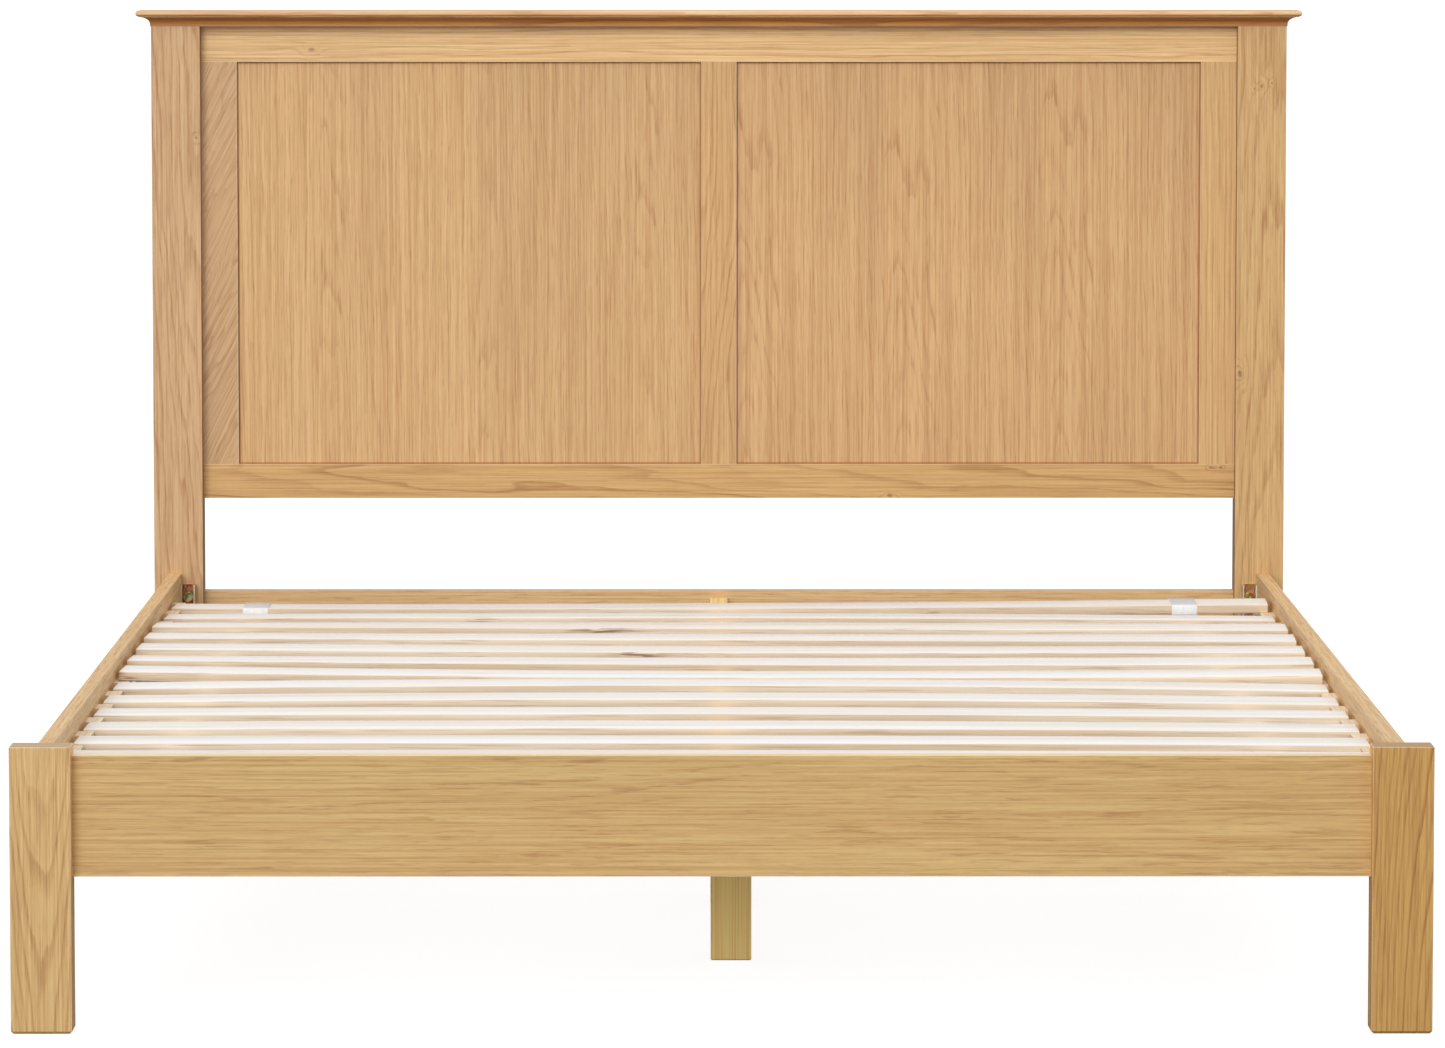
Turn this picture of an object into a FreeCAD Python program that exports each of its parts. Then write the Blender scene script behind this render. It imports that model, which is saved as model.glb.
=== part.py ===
import FreeCAD, Part
import os
import re
import Sketcher
from FreeCAD import Placement, Rotation, Vector

# A wooden double bed frame with a frame-and-panel headboard, a low foot end,
# two side rails, a centre beam on three legs and a loose roll of slats.
# X runs across the bed, Y from the foot to the headboard, Z up from the floor.
# The origin is on the floor under the middle of the frame. Millimetres.

doc = FreeCAD.newDocument("bed_frame")

# ---------------------------------------------------------------- sizes
SIZES = {
    # whole frame
    "overall_length": 2115.0,
    "joint_gap": 0.2,
    # foot end
    "foot_outer": 800.0,
    "foot_post_width": 69.0,
    "post_depth": 45.0,
    "foot_post_height": 325.0,
    "foot_rail_recess": 20.0,
    "foot_rail_thick": 22.0,
    "foot_rail_bottom": 176.0,
    "foot_rail_top": 313.0,
    # side rails and the slat ledgers on them
    "rail_outer": 771.0,
    "rail_thick": 18.0,
    "rail_top": 325.0,
    "rail_bottom": 176.0,
    "ledger_width": 18.0,
    "ledger_top": 300.0,
    "ledger_bottom": 270.0,
    "ledger_setback": 24.0,
    "ledger_length": 1808.0,
    "notch_depth": 10.5,
    "notch_length": 92.0,
    # headboard
    "head_outer": 791.0,
    "head_post_width": 68.5,
    "head_post_height": 1090.0,
    "head_recess": 20.0,
    "head_thick": 20.0,
    "top_rail_bottom": 1040.0,
    "bottom_rail_top": 477.0,
    "bottom_rail_bottom": 429.0,
    "stile_width": 49.5,
    "muntin_width": 49.4,
    "panel_thick": 7.6,
    "groove_width": 8.0,
    "groove_depth": 9.0,
    "lower_rail_bottom": 176.0,
    "lower_rail_top": 299.0,
    # headboard cap
    "cap_thick": 22.0,
    "cap_overhang": 20.0,
    "cap_foot": 5.5,
    "cap_nose": 9.0,
    # tenons
    "tenon_length": 20.0,
    "tenon_thick": 10.0,
    "tenon_shoulder": 8.0,
    "low_tenon_bottom": 228.0,
    "low_tenon_top": 272.0,
    # centre support
    "beam_width": 24.0,
    "beam_height": 70.0,
    "beam_top": 288.5,
    "leg_width": 49.0,
    "leg_setback": 566.0,
    "leg_pitch": 491.0,
    # slats
    "slat_length": 1495.0,
    "slat_width": 75.0,
    "slat_thick": 12.0,
    "slat_gap": 0.3,
    # webbing
    "webbing_x": 633.0,
    "webbing_width": 35.0,
    "webbing_thick": 1.2,
    # steel corner brackets
    "bracket_width": 20.0,
    "bracket_reach": 22.0,
    "bracket_bottom": 200.0,
    "bracket_height": 110.0,
    "steel_thick": 2.0,
}

sheet = doc.addObject("Spreadsheet::Sheet", "Sizes")
for row, (alias, value) in enumerate(SIZES.items(), start=1):
    sheet.set("A%d" % row, alias)
    sheet.set("B%d" % row, str(value))
    sheet.setAlias("B%d" % row, alias)
doc.recompute()


def size(alias):
    """The value of one driving dimension, read back from the sheet."""
    return float(sheet.get(alias))


def bound(text):
    """An expression in sheet aliases, such as 'rail_top - 2'."""
    return re.sub(r"[a-z_]+", lambda word: "Sizes." + word.group(0), str(text))


def worth(text):
    """The number that such an expression gives."""
    names = sorted(SIZES, key=len, reverse=True)
    total = 0.0
    for sign, term in re.findall(r"([+-]?)\s*([^+-]+)", str(text)):
        product = 1.0
        for step, factor in re.findall(r"([*/]?)\s*([\w.]+)", term):
            number = size(factor) if factor in names else float(factor)
            product = product / number if step == "/" else product * number
        total += -product if sign == "-" else product
    return total


# places along Y, as expressions
FOOT_FACE = "-overall_length / 2"
FOOT_BACK = FOOT_FACE + " + post_depth"
HEAD_BACK = "overall_length / 2"
HEAD_FACE = HEAD_BACK + " - post_depth"
PANEL_FACE = HEAD_FACE + " + head_recess"
RAIL_INNER = "rail_outer - rail_thick"
SIDES = {"left": -1, "right": 1}


# ---------------------------------------------------------------- building blocks
def swapped(text):
    """An expression with each plus turned into a minus and each minus into a plus."""
    return re.sub(r"[+-]", lambda sign: "-" if sign.group(0) == "+" else "+", str(text))


def negated(text):
    """The expression for minus the value of another."""
    return swapped(text) if str(text).lstrip()[0] in "+-" else "-" + swapped(text)


def brick(name, low, high):
    """A box between two corners, each given as three expressions."""
    box = doc.addObject("Part::Box", name)
    for edge, axis, start, end in zip(("Length", "Width", "Height"), "xyz", low, high):
        flipped = swapped(start)
        minus = flipped if flipped.lstrip()[0] == "+" else "- " + flipped
        box.setExpression(edge, bound("%s %s" % (end, minus)))
        box.setExpression("Placement.Base." + axis, bound(start))
    return box


def mirrored(low, high, side):
    """The two corners of a right-hand box, for either side of the bed."""
    if side > 0:
        return low, high
    return (negated(high[0]),) + tuple(low[1:]), (negated(low[0]),) + tuple(high[1:])


def rod(name, diameter, length, at, axis):
    """A cylinder that starts at a point and runs along an axis."""
    part = doc.addObject("Part::Cylinder", name)
    part.Radius = diameter / 2.0
    part.Height = length
    part.Placement = Placement(Vector(*at), Rotation(Vector(0, 0, 1), Vector(*axis)))
    return part


def joined(label, pieces):
    """Several solids made one."""
    part = doc.addObject("Part::MultiFuse", label)
    part.Shapes = pieces
    part.Refine = True
    return part


def cut(label, base, tools):
    """A solid with other solids taken out of it."""
    part = doc.addObject("Part::Cut", label)
    part.Base = base
    if len(tools) == 1:
        part.Tool = tools[0]
    else:
        waste = doc.addObject("Part::Compound", label + "_waste")
        waste.Links = tools
        part.Tool = waste
    return part


def group(label, pieces):
    """Identical fasteners that share one node as separate solids."""
    part = doc.addObject("Part::Compound", label)
    part.Links = pieces
    return part


def plane_of(body, role):
    """One of a body's own origin planes or axes."""
    return next(f for f in body.Origin.OriginFeatures if f.Role == role)


def sketch_on(body, name, role):
    """An empty sketch on an origin plane of its body."""
    sketch = body.newObject("Sketcher::SketchObject", name)
    sketch.AttachmentSupport = [(plane_of(body, role), "")]
    sketch.MapMode = "FlatFace"
    return sketch


def polygon(sketch, points):
    """A closed outline whose corners are bound to pairs of expressions."""
    spots = [Vector(worth(x), worth(y), 0) for x, y in points]
    for index, spot in enumerate(spots):
        sketch.addGeometry(Part.LineSegment(spot, spots[(index + 1) % len(spots)]), False)
    for index in range(len(spots)):
        following = (index + 1) % len(spots)
        sketch.addConstraint(Sketcher.Constraint("Coincident", index, 2, following, 1))
    for index, (x, y) in enumerate(points):
        for kind, text in (("DistanceX", x), ("DistanceY", y)):
            if abs(worth(text)) < 1e-9:
                axis = -2 if kind == "DistanceX" else -1
                sketch.addConstraint(Sketcher.Constraint("PointOnObject", index, 1, axis))
                continue
            row = sketch.addConstraint(Sketcher.Constraint(kind, -1, 1, index, 1, worth(text)))
            sketch.setExpression("Constraints[%d]" % row, bound(text))
    return sketch


def pad(body, sketch, length, midplane=False):
    """A sketch pulled straight out by an expression's length."""
    feature = body.newObject("PartDesign::Pad", sketch.Name + "_pad")
    feature.Profile = sketch
    feature.setExpression("Length", bound(length))
    feature.Midplane = midplane
    sketch.Visibility = False
    return feature


def edges_where(feature, test):
    """Names of a feature's edges whose two ends pass a test."""
    doc.recompute()
    found = []
    for number, edge in enumerate(feature.Shape.Edges, start=1):
        ends = [vertex.Point for vertex in edge.Vertexes]
        if len(ends) == 2 and test(*ends):
            found.append("Edge%d" % number)
    return found


def dressed(body, kind, base, edges, amount):
    """A fillet or a chamfer on chosen edges of a body."""
    feature = body.newObject("PartDesign::" + kind, body.Name + "_" + kind.lower())
    feature.Base = (base, edges)
    if kind == "Fillet":
        feature.Radius = amount
    else:
        feature.Size = amount
    body.Tip = feature
    doc.recompute()
    return feature


def is_upright(a, b):
    return abs(a.x - b.x) < 0.01 and abs(a.y - b.y) < 0.01


def level_at(height):
    return lambda a, b: abs(a.z - height) < 0.01 and abs(b.z - height) < 0.01


def eased_edge(height):
    """The upright edges of a post and, on a foot post, those round its top too."""
    crown = level_at(worth(height))
    return lambda a, b: is_upright(a, b) or (height.startswith("foot") and crown(a, b))


def runs_along_y(a, b):
    return abs(a.y - b.y) > 1000 and abs(a.x - b.x) < 0.01 and abs(a.z - b.z) < 0.01


nodes = []          # the finished sub-parts, in the order they are exported


def finished(feature, label):
    """Names a finished sub-part and puts it on the export list."""
    feature.Label = label
    nodes.append((label, feature))
    return feature


# ---------------------------------------------------------------- fastener positions
BOLT_HEIGHTS = (212.0, 292.0)
BRACKET_SCREW_HEIGHTS = (232.0, 252.0, 272.0)
BRACKET_SCREW_SETBACK = 13.0
BRACKET_GAP = 0.1
BOLT_DIAMETER = 8.0
INSERT_DIAMETER = 12.0
INSERT_LENGTH = 18.0
WOOD_SCREW = 4.0
SCREW_HEAD = 8.0
SCREW_HEAD_THICK = 2.4
LEG_BOLT = 6.0
LEG_BOLT_HEIGHTS = (240.0, 268.0)
DOWEL_DIAMETER = 8.0
DOWEL_DEPTH = 15.0
CLEARANCE = 0.3
LEDGER_SCREWS = 7
LEDGER_SCREW_INSET = 60.0
LEDGER_SCREW_HEIGHT = 279.0
HANGER_SCREW_X = 24.0
HANGER_SCREW_HEIGHTS = (232.0, 262.0)
END_DOWEL_X = 757.0
bracket_x = worth(RAIL_INNER + " - bracket_width / 2")
foot_back = worth(FOOT_BACK)
head_face = worth(HEAD_FACE)
panel_face = worth(PANEL_FACE)
head_middle = panel_face + size("head_thick") / 2
foot_rail_back = worth(FOOT_FACE + " + foot_rail_recess + foot_rail_thick")
CORNERS = {
    "head_left": (-1, head_face, 1),
    "head_right": (1, head_face, 1),
    "foot_left": (-1, foot_back, -1),
    "foot_right": (1, foot_back, -1),
}
dowel_places = [side * x for side in SIDES.values() for x in (180.0, 500.0, END_DOWEL_X)]


def insert_holes(side, face, into):
    """Holes in a post for the threaded inserts of its bracket."""
    depth = INSERT_LENGTH + BOLT_DIAMETER
    spots = [(side * bracket_x, face - into, height) for height in BOLT_HEIGHTS]
    return [rod("insert_hole", INSERT_DIAMETER, depth, spot, (0, into, 0)) for spot in spots]


def dowel_holes(bottom, places, depth):
    """Upright holes along the headboard for the cap's dowels."""
    wide = DOWEL_DIAMETER + CLEARANCE
    return [rod("dowel_hole", wide, depth, (x, head_middle, bottom), (0, 0, 1)) for x in places]


# ---------------------------------------------------------------- posts
def post(label, side, outer, width, height, face, mortises, holes):
    """A square-cut post: an upright pad with eased edges and a chamfered foot."""
    body = doc.addObject("PartDesign::Body", label + "_blank")
    near = face
    far = face + " + post_depth"
    inner = "%s - %s" % (outer, width)
    low, high = mirrored((inner, near, 0), (outer, far, 0), side)
    corners = [(low[0], near), (high[0], near), (high[0], far), (low[0], far)]
    outline = polygon(sketch_on(body, label + "_outline", "XY_Plane"), corners)
    blank = pad(body, outline, height)
    footed = dressed(body, "Chamfer", blank, edges_where(blank, level_at(0.0)), 3.0)
    dressed(body, "Fillet", footed, edges_where(footed, eased_edge(height)), 1.2)
    finished(cut(label, body, mortises + holes), label)


def mortise(side, inner, middle, bottom, top):
    """The pocket for one tenon in the inner face of a post."""
    half = "tenon_thick / 2"
    low = (inner + " - 1", "%s - %s - joint_gap" % (middle, half), "%s - joint_gap" % bottom)
    high = (inner + " + tenon_length + 1", "%s + %s + joint_gap" % (middle, half),
            "%s + joint_gap" % top)
    return brick("mortise", *mirrored(low, high, side))


FOOT_MIDDLE = FOOT_FACE + " + foot_rail_recess + foot_rail_thick / 2"
HEAD_MIDDLE = PANEL_FACE + " + head_thick / 2"
FOOT_INNER = "foot_outer - foot_post_width"
HEAD_INNER = "head_outer - head_post_width"
TOP_TENON = ("top_rail_bottom + tenon_shoulder", "head_post_height - tenon_shoulder")
BOTTOM_TENON = ("bottom_rail_bottom + tenon_shoulder", "bottom_rail_top - tenon_shoulder")
LOW_TENON = ("low_tenon_bottom", "low_tenon_top")

for word, side in SIDES.items():
    foot_mortises = [mortise(side, FOOT_INNER, FOOT_MIDDLE, *LOW_TENON)]
    post("foot_post_" + word, side, "foot_outer", "foot_post_width", "foot_post_height",
         FOOT_FACE, foot_mortises, insert_holes(side, foot_back + 1, -1))
    head_mortises = [mortise(side, HEAD_INNER, HEAD_MIDDLE, *pair)
                     for pair in (TOP_TENON, BOTTOM_TENON, LOW_TENON)]
    top_hole = dowel_holes(size("head_post_height") - DOWEL_DEPTH, [side * END_DOWEL_X],
                           DOWEL_DEPTH + 1)
    post("headboard_post_" + word, side, "head_outer", "head_post_width", "head_post_height",
         HEAD_FACE, head_mortises, insert_holes(side, head_face + 1, 1) + top_hole)


# ---------------------------------------------------------------- cross rails with tenons
def tenoned_rail(label, inner, face, thick, bottom, top, middle, tenon, cuts):
    """A rail between two posts, with a tenon at each end."""
    back = "%s + %s" % (face, thick)
    core = brick(label + "_core", ("-" + inner.replace("-", "+"), face, bottom), (inner, back, top))
    half = "tenon_thick / 2"
    near, far = "%s - %s" % (middle, half), "%s + %s" % (middle, half)
    tongues = []
    for side in SIDES.values():
        low = (inner + " - 2", near, tenon[0])
        high = (inner + " + tenon_length", far, tenon[1])
        tongues.append(brick(label + "_tenon", *mirrored(low, high, side)))
    whole = joined(label + "_whole" if cuts else label, [core] + tongues)
    finished(cut(label, whole, cuts) if cuts else whole, label)


def groove(x_low, x_high, z_low, z_high):
    """A panel groove, in the middle of the headboard's thickness."""
    near = HEAD_MIDDLE + " - groove_width / 2"
    far = HEAD_MIDDLE + " + groove_width / 2"
    return brick("groove", (x_low, near, z_low), (x_high, far, z_high))


def screw_holes(spots, axis, depth):
    """Pilot holes for wood screws."""
    return [rod("pilot_hole", WOOD_SCREW + CLEARANCE, depth, spot, axis) for spot in spots]


PILOT_DEPTH = 15.0
hanger_screw_spots = [(side * HANGER_SCREW_X, height)
                      for side in SIDES.values() for height in HANGER_SCREW_HEIGHTS]
foot_spots = [(x, foot_rail_back + 1, z) for x, z in hanger_screw_spots]
head_spots = [(x, panel_face - 1, z) for x, z in hanger_screw_spots]
foot_pilots = screw_holes(foot_spots, (0, -1, 0), PILOT_DEPTH)
head_pilots = screw_holes(head_spots, (0, 1, 0), PILOT_DEPTH)
rail_dowel_holes = dowel_holes(size("head_post_height") - DOWEL_DEPTH,
                               [x for x in dowel_places if abs(x) < END_DOWEL_X], DOWEL_DEPTH + 1)
TOP_GROOVE = groove("-head_outer + head_post_width", HEAD_INNER,
                    "top_rail_bottom - 1", "top_rail_bottom + groove_depth")
BOTTOM_GROOVE = groove("-head_outer + head_post_width", HEAD_INNER,
                       "bottom_rail_top - groove_depth", "bottom_rail_top + 1")
tenoned_rail("headboard_top_rail", HEAD_INNER, PANEL_FACE, "head_thick", "top_rail_bottom",
             "head_post_height", HEAD_MIDDLE, TOP_TENON, [TOP_GROOVE] + rail_dowel_holes)
tenoned_rail("headboard_bottom_rail", HEAD_INNER, PANEL_FACE, "head_thick", "bottom_rail_bottom",
             "bottom_rail_top", HEAD_MIDDLE, BOTTOM_TENON, [BOTTOM_GROOVE])
tenoned_rail("headboard_lower_rail", HEAD_INNER, PANEL_FACE, "head_thick", "lower_rail_bottom",
             "lower_rail_top", HEAD_MIDDLE, LOW_TENON, head_pilots)
tenoned_rail("foot_rail", FOOT_INNER, FOOT_FACE + " + foot_rail_recess", "foot_rail_thick",
             "foot_rail_bottom", "foot_rail_top", FOOT_MIDDLE, LOW_TENON, foot_pilots)


# ---------------------------------------------------------------- stiles, muntin and panels
def upright(label, x_low, x_high, grooves):
    """An upright of the headboard frame, with stub tenons that sit in the rails' grooves."""
    back = PANEL_FACE + " + head_thick"
    core = brick(label + "_core", (x_low, PANEL_FACE, "bottom_rail_top"), (x_high, back, "top_rail_bottom"))
    near = HEAD_MIDDLE + " - panel_thick / 2"
    far = HEAD_MIDDLE + " + panel_thick / 2"
    stub_low = "bottom_rail_top - groove_depth + 0.5"
    stub_high = "top_rail_bottom + groove_depth - 0.5"
    stub = brick(label + "_stub", (x_low, near, stub_low), (x_high, far, stub_high))
    whole = joined(label + "_whole", [core, stub])
    finished(cut(label, whole, grooves), label)


PANEL_LOW = "bottom_rail_top - groove_depth - 1"
PANEL_HIGH = "top_rail_bottom + groove_depth + 1"
STILE_INNER = "head_outer - head_post_width - stile_width"
for word, side in SIDES.items():
    low, high = mirrored((STILE_INNER,), (HEAD_INNER,), side)
    slot_low, slot_high = mirrored((STILE_INNER + " - 1",), (STILE_INNER + " + groove_depth",), side)
    upright("headboard_stile_" + word, low[0], high[0],
            [groove(slot_low[0], slot_high[0], PANEL_LOW, PANEL_HIGH)])
muntin_grooves = []
for side in SIDES.values():
    low, high = mirrored(("muntin_width / 2 - groove_depth",), ("muntin_width / 2 + 1",), side)
    muntin_grooves.append(groove(low[0], high[0], PANEL_LOW, PANEL_HIGH))
upright("headboard_muntin", "-muntin_width / 2", "muntin_width / 2", muntin_grooves)

for word, side in SIDES.items():
    label = "headboard_panel_" + word
    low = ("muntin_width / 2 - groove_depth + 1", HEAD_MIDDLE + " - panel_thick / 2",
           "bottom_rail_top - groove_depth + 1")
    high = (STILE_INNER + " + groove_depth - 1", HEAD_MIDDLE + " + panel_thick / 2",
            "top_rail_bottom + groove_depth - 1")
    finished(brick(label, *mirrored(low, high, side)), label)


# ---------------------------------------------------------------- headboard cap
def flipped_across(spot):
    """A sketch point on the other side of the middle line."""
    return Vector(-spot.x, spot.y, 0)


def cap_profile(body, name, role, reach, depth):
    """Section of the cap: a square back, a bead, a cove and a round nose at one or both edges.

    reach is how far the cap's foot stands out from the middle line, and depth is how far back
    the section runs; a depth of zero gives the same moulding on both edges.
    """
    sketch = sketch_on(body, name, role)
    base, top = size("head_post_height"), size("head_post_height") + size("cap_thick")
    nose = size("cap_nose") / 2
    out = reach + size("cap_overhang") - size("cap_foot")
    bead, cove_top = base + 3.0, top - 2 * nose - 1.0
    cove = Part.Arc(Vector(reach, bead, 0),
                    Vector(reach + 0.293 * (out - nose - reach), bead + 0.707 * (cove_top - bead), 0),
                    Vector(out - nose, cove_top, 0))
    round_nose = Part.Arc(Vector(out - nose, top - 2 * nose, 0), Vector(out, top - nose, 0),
                          Vector(out - nose, top, 0))
    edge = [Part.LineSegment(Vector(reach, base, 0), Vector(reach, bead, 0)), cove,
            Part.LineSegment(Vector(out - nose, cove_top, 0), Vector(out - nose, top - 2 * nose, 0)),
            round_nose]
    if depth:
        corners = [Vector(out - nose, top, 0), Vector(-depth, top, 0), Vector(-depth, base, 0),
                   Vector(reach, base, 0)]
        rest = [Part.LineSegment(a, b) for a, b in zip(corners, corners[1:])]
    else:
        rest = [Part.LineSegment(Vector(out - nose, top, 0), Vector(nose - out, top, 0))]
        for piece in reversed(edge):
            ends = flipped_across(piece.EndPoint), flipped_across(piece.StartPoint)
            if isinstance(piece, Part.LineSegment):
                rest.append(Part.LineSegment(*ends))
            else:
                middle = piece.value((piece.FirstParameter + piece.LastParameter) / 2)
                rest.append(Part.Arc(ends[0], flipped_across(middle), ends[1]))
        rest.append(Part.LineSegment(Vector(-reach, base, 0), Vector(reach, base, 0)))
    for piece in edge + rest:
        sketch.addGeometry(piece, False)
    return sketch


cap_across = doc.addObject("PartDesign::Body", "cap_ends")
ends_reach = size("head_outer") + size("cap_foot")
ends_outline = cap_profile(cap_across, "cap_ends_outline", "XZ_Plane", ends_reach, 0)
pad(cap_across, ends_outline, "overall_length * 2", midplane=True)
cap_along = doc.addObject("PartDesign::Body", "cap_front")
front_reach = -(head_face - size("cap_foot"))
front_outline = cap_profile(cap_along, "cap_front_outline", "YZ_Plane", front_reach, worth(HEAD_BACK))
pad(cap_along, front_outline, "overall_length * 2", midplane=True)
cap_along.Placement = Placement(Vector(), Rotation(Vector(0, 0, 1), 180))
cap_board = doc.addObject("Part::MultiCommon", "cap_board")
cap_board.Shapes = [cap_across, cap_along]
finished(cut("headboard_cap", cap_board,
             dowel_holes(size("head_post_height") - 1, dowel_places, DOWEL_DEPTH + 1)), "headboard_cap")

cap_dowels = [rod("cap_dowel", DOWEL_DIAMETER, 2 * DOWEL_DEPTH - 2,
                  (x, head_middle, size("head_post_height") - DOWEL_DEPTH + 1), (0, 0, 1))
              for x in dowel_places]
finished(group("cap_dowels", cap_dowels), "cap_dowels")


# ---------------------------------------------------------------- side rails and ledgers
# The left ledger is fixed a little nearer the headboard than the right one, so that every slat
# lies slightly askew. Both end a little behind the slat at the headboard.
STAGGER = 13.0
first_ledger_start = worth(FOOT_BACK + " + ledger_setback")
ledger_start = {-1: first_ledger_start + 2 * STAGGER, 1: first_ledger_start}
ledger_screw_pitch = (size("ledger_length") - 2 * LEDGER_SCREW_INSET) / (LEDGER_SCREWS - 1)
ledger_screw_y = {side: [start + LEDGER_SCREW_INSET + turn * ledger_screw_pitch
                         for turn in range(LEDGER_SCREWS)]
                  for side, start in ledger_start.items()}
inner_x = worth(RAIL_INNER)

bracket_screw_spots = []
for corner, (side, face, into) in CORNERS.items():
    y = face - into * BRACKET_SCREW_SETBACK
    bracket_screw_spots += [(side, y, height) for height in BRACKET_SCREW_HEIGHTS]

for word, side in SIDES.items():
    label = "side_rail_" + word
    blank = doc.addObject("PartDesign::Body", label + "_blank")
    low, high = mirrored((RAIL_INNER, 0, 0), ("rail_outer", 0, 0), side)
    corners = [(low[0], "rail_bottom"), (high[0], "rail_bottom"),
               (high[0], "rail_top"), (low[0], "rail_top")]
    outline = polygon(sketch_on(blank, label + "_outline", "XZ_Plane"), corners)
    board = pad(blank, outline, "overall_length - 2 * post_depth", midplane=True)
    dressed(blank, "Fillet", board, edges_where(board, runs_along_y), 1.2)
    spots = [(side * (inner_x - 1), y, z) for where, y, z in bracket_screw_spots if where == side]
    spots += [(side * (inner_x - 1), y, LEDGER_SCREW_HEIGHT) for y in ledger_screw_y[side]]
    finished(cut(label, blank, screw_holes(spots, (side, 0, 0), 14.5)), label)

NOTCH_COUNT = 13
LAST_NOTCH_Y = worth(FOOT_FACE) + 120.0
NOTCH_PITCH = 142.5

for word, side in SIDES.items():
    label = "slat_ledger_" + word
    body = doc.addObject("PartDesign::Body", label + "_blank")
    low, high = mirrored((RAIL_INNER + " - ledger_width", 0, 0), (RAIL_INNER, 0, 0), side)
    corners = [(low[0], "ledger_bottom"), (high[0], "ledger_bottom"),
               (high[0], "ledger_top"), (low[0], "ledger_top")]
    outline = polygon(sketch_on(body, label + "_outline", "XZ_Plane"), corners)
    middle = ledger_start[side] + size("ledger_length") / 2
    outline.AttachmentOffset = Placement(Vector(0, 0, -middle), Rotation())
    pad(body, outline, "ledger_length", midplane=True)
    first = LAST_NOTCH_Y - side * STAGGER
    notch_sketch = sketch_on(body, label + "_notch", "YZ_Plane")
    ends = [first - size("notch_length") / 2, first + size("notch_length") / 2]
    floor = size("ledger_top") - size("notch_depth")
    above = size("ledger_top") + size("notch_depth")
    notch_corners = [(ends[0], floor), (ends[1], floor), (ends[1], above), (ends[0], above)]
    for a, b in zip(notch_corners, notch_corners[1:] + notch_corners[:1]):
        notch_sketch.addGeometry(Part.LineSegment(Vector(*a, 0), Vector(*b, 0)), False)
    pocket = body.newObject("PartDesign::Pocket", label + "_pocket")
    pocket.Profile = notch_sketch
    pocket.Midplane = True
    pocket.Length = 2 * size("overall_length")
    doc.recompute()
    pattern = body.newObject("PartDesign::LinearPattern", label + "_notches")
    pattern.Originals = [pocket]
    pattern.Direction = (notch_sketch, ["H_Axis"])
    pattern.Length = NOTCH_PITCH * (NOTCH_COUNT - 1)
    pattern.Occurrences = NOTCH_COUNT
    body.Tip = pattern
    doc.recompute()
    outside = side * (inner_x - size("ledger_width") - 5.0)
    spots = [(outside, y, LEDGER_SCREW_HEIGHT) for y in ledger_screw_y[side]]
    through = [rod("ledger_hole", WOOD_SCREW + CLEARANCE, 30.0, spot, (side, 0, 0)) for spot in spots]
    sunk = [rod("ledger_sink", SCREW_HEAD + 0.4, 8.0, spot, (side, 0, 0)) for spot in spots]
    finished(cut(label, body, through + sunk), label)


def wood_screw(spot, axis, length):
    """A flat-headed wood screw whose head starts at a point."""
    head = rod("screw_head", SCREW_HEAD, SCREW_HEAD_THICK, spot, axis)
    shank = rod("screw_shank", WOOD_SCREW, length, spot, axis)
    return joined("wood_screw", [head, shank])


ledger_screws = []
for side in SIDES.values():
    for y in ledger_screw_y[side]:
        spot = (side * (inner_x - size("ledger_width") + 0.3), y, LEDGER_SCREW_HEIGHT)
        ledger_screws.append(wood_screw(spot, (side, 0, 0), 30.0))
finished(group("ledger_screws", ledger_screws), "ledger_screws")


# ---------------------------------------------------------------- corner brackets
def corner_bracket(corner, side, face, into):
    """A pressed steel channel: a web on the post and two flanges that reach along the rail."""
    label = "corner_bracket_" + corner
    body = doc.addObject("PartDesign::Body", label + "_channel")
    wide, steel, reach = size("bracket_width"), size("steel_thick"), size("bracket_reach")
    outer, web = inner_x - BRACKET_GAP, BRACKET_GAP + steel
    inner = outer - wide
    profile = [(outer, BRACKET_GAP), (inner, BRACKET_GAP), (inner, reach), (inner + steel, reach),
               (inner + steel, web), (outer - steel, web), (outer - steel, reach), (outer, reach)]
    corners = [(side * x, face - into * y) for x, y in profile]
    outline = polygon(sketch_on(body, label + "_outline", "XY_Plane"), corners)
    outline.AttachmentOffset = Placement(Vector(0, 0, size("bracket_bottom")), Rotation())
    channel = pad(body, outline, "bracket_height")
    back = face - into * BRACKET_GAP

    def on_web(a, b):
        return is_upright(a, b) and abs(a.y - back) < 0.01

    dressed(body, "Fillet", channel, edges_where(channel, on_web), 1.5)
    holes = [rod("bolt_hole", BOLT_DIAMETER + 0.6, 10.0, (side * bracket_x, face + into * 3.0, height),
                 (0, -into, 0)) for height in BOLT_HEIGHTS]
    for height in BRACKET_SCREW_HEIGHTS:
        y = face - into * BRACKET_SCREW_SETBACK
        holes.append(rod("flange_hole", WOOD_SCREW + 0.6, 10.0, (side * (outer - 5.0), y, height),
                         (side, 0, 0)))
        holes.append(rod("driver_hole", SCREW_HEAD + 2.0, 10.0, (side * (inner - 3.0), y, height),
                         (side, 0, 0)))
    finished(cut(label, body, holes), label)


for corner, (side, face, into) in CORNERS.items():
    corner_bracket(corner, side, face, into)

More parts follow.
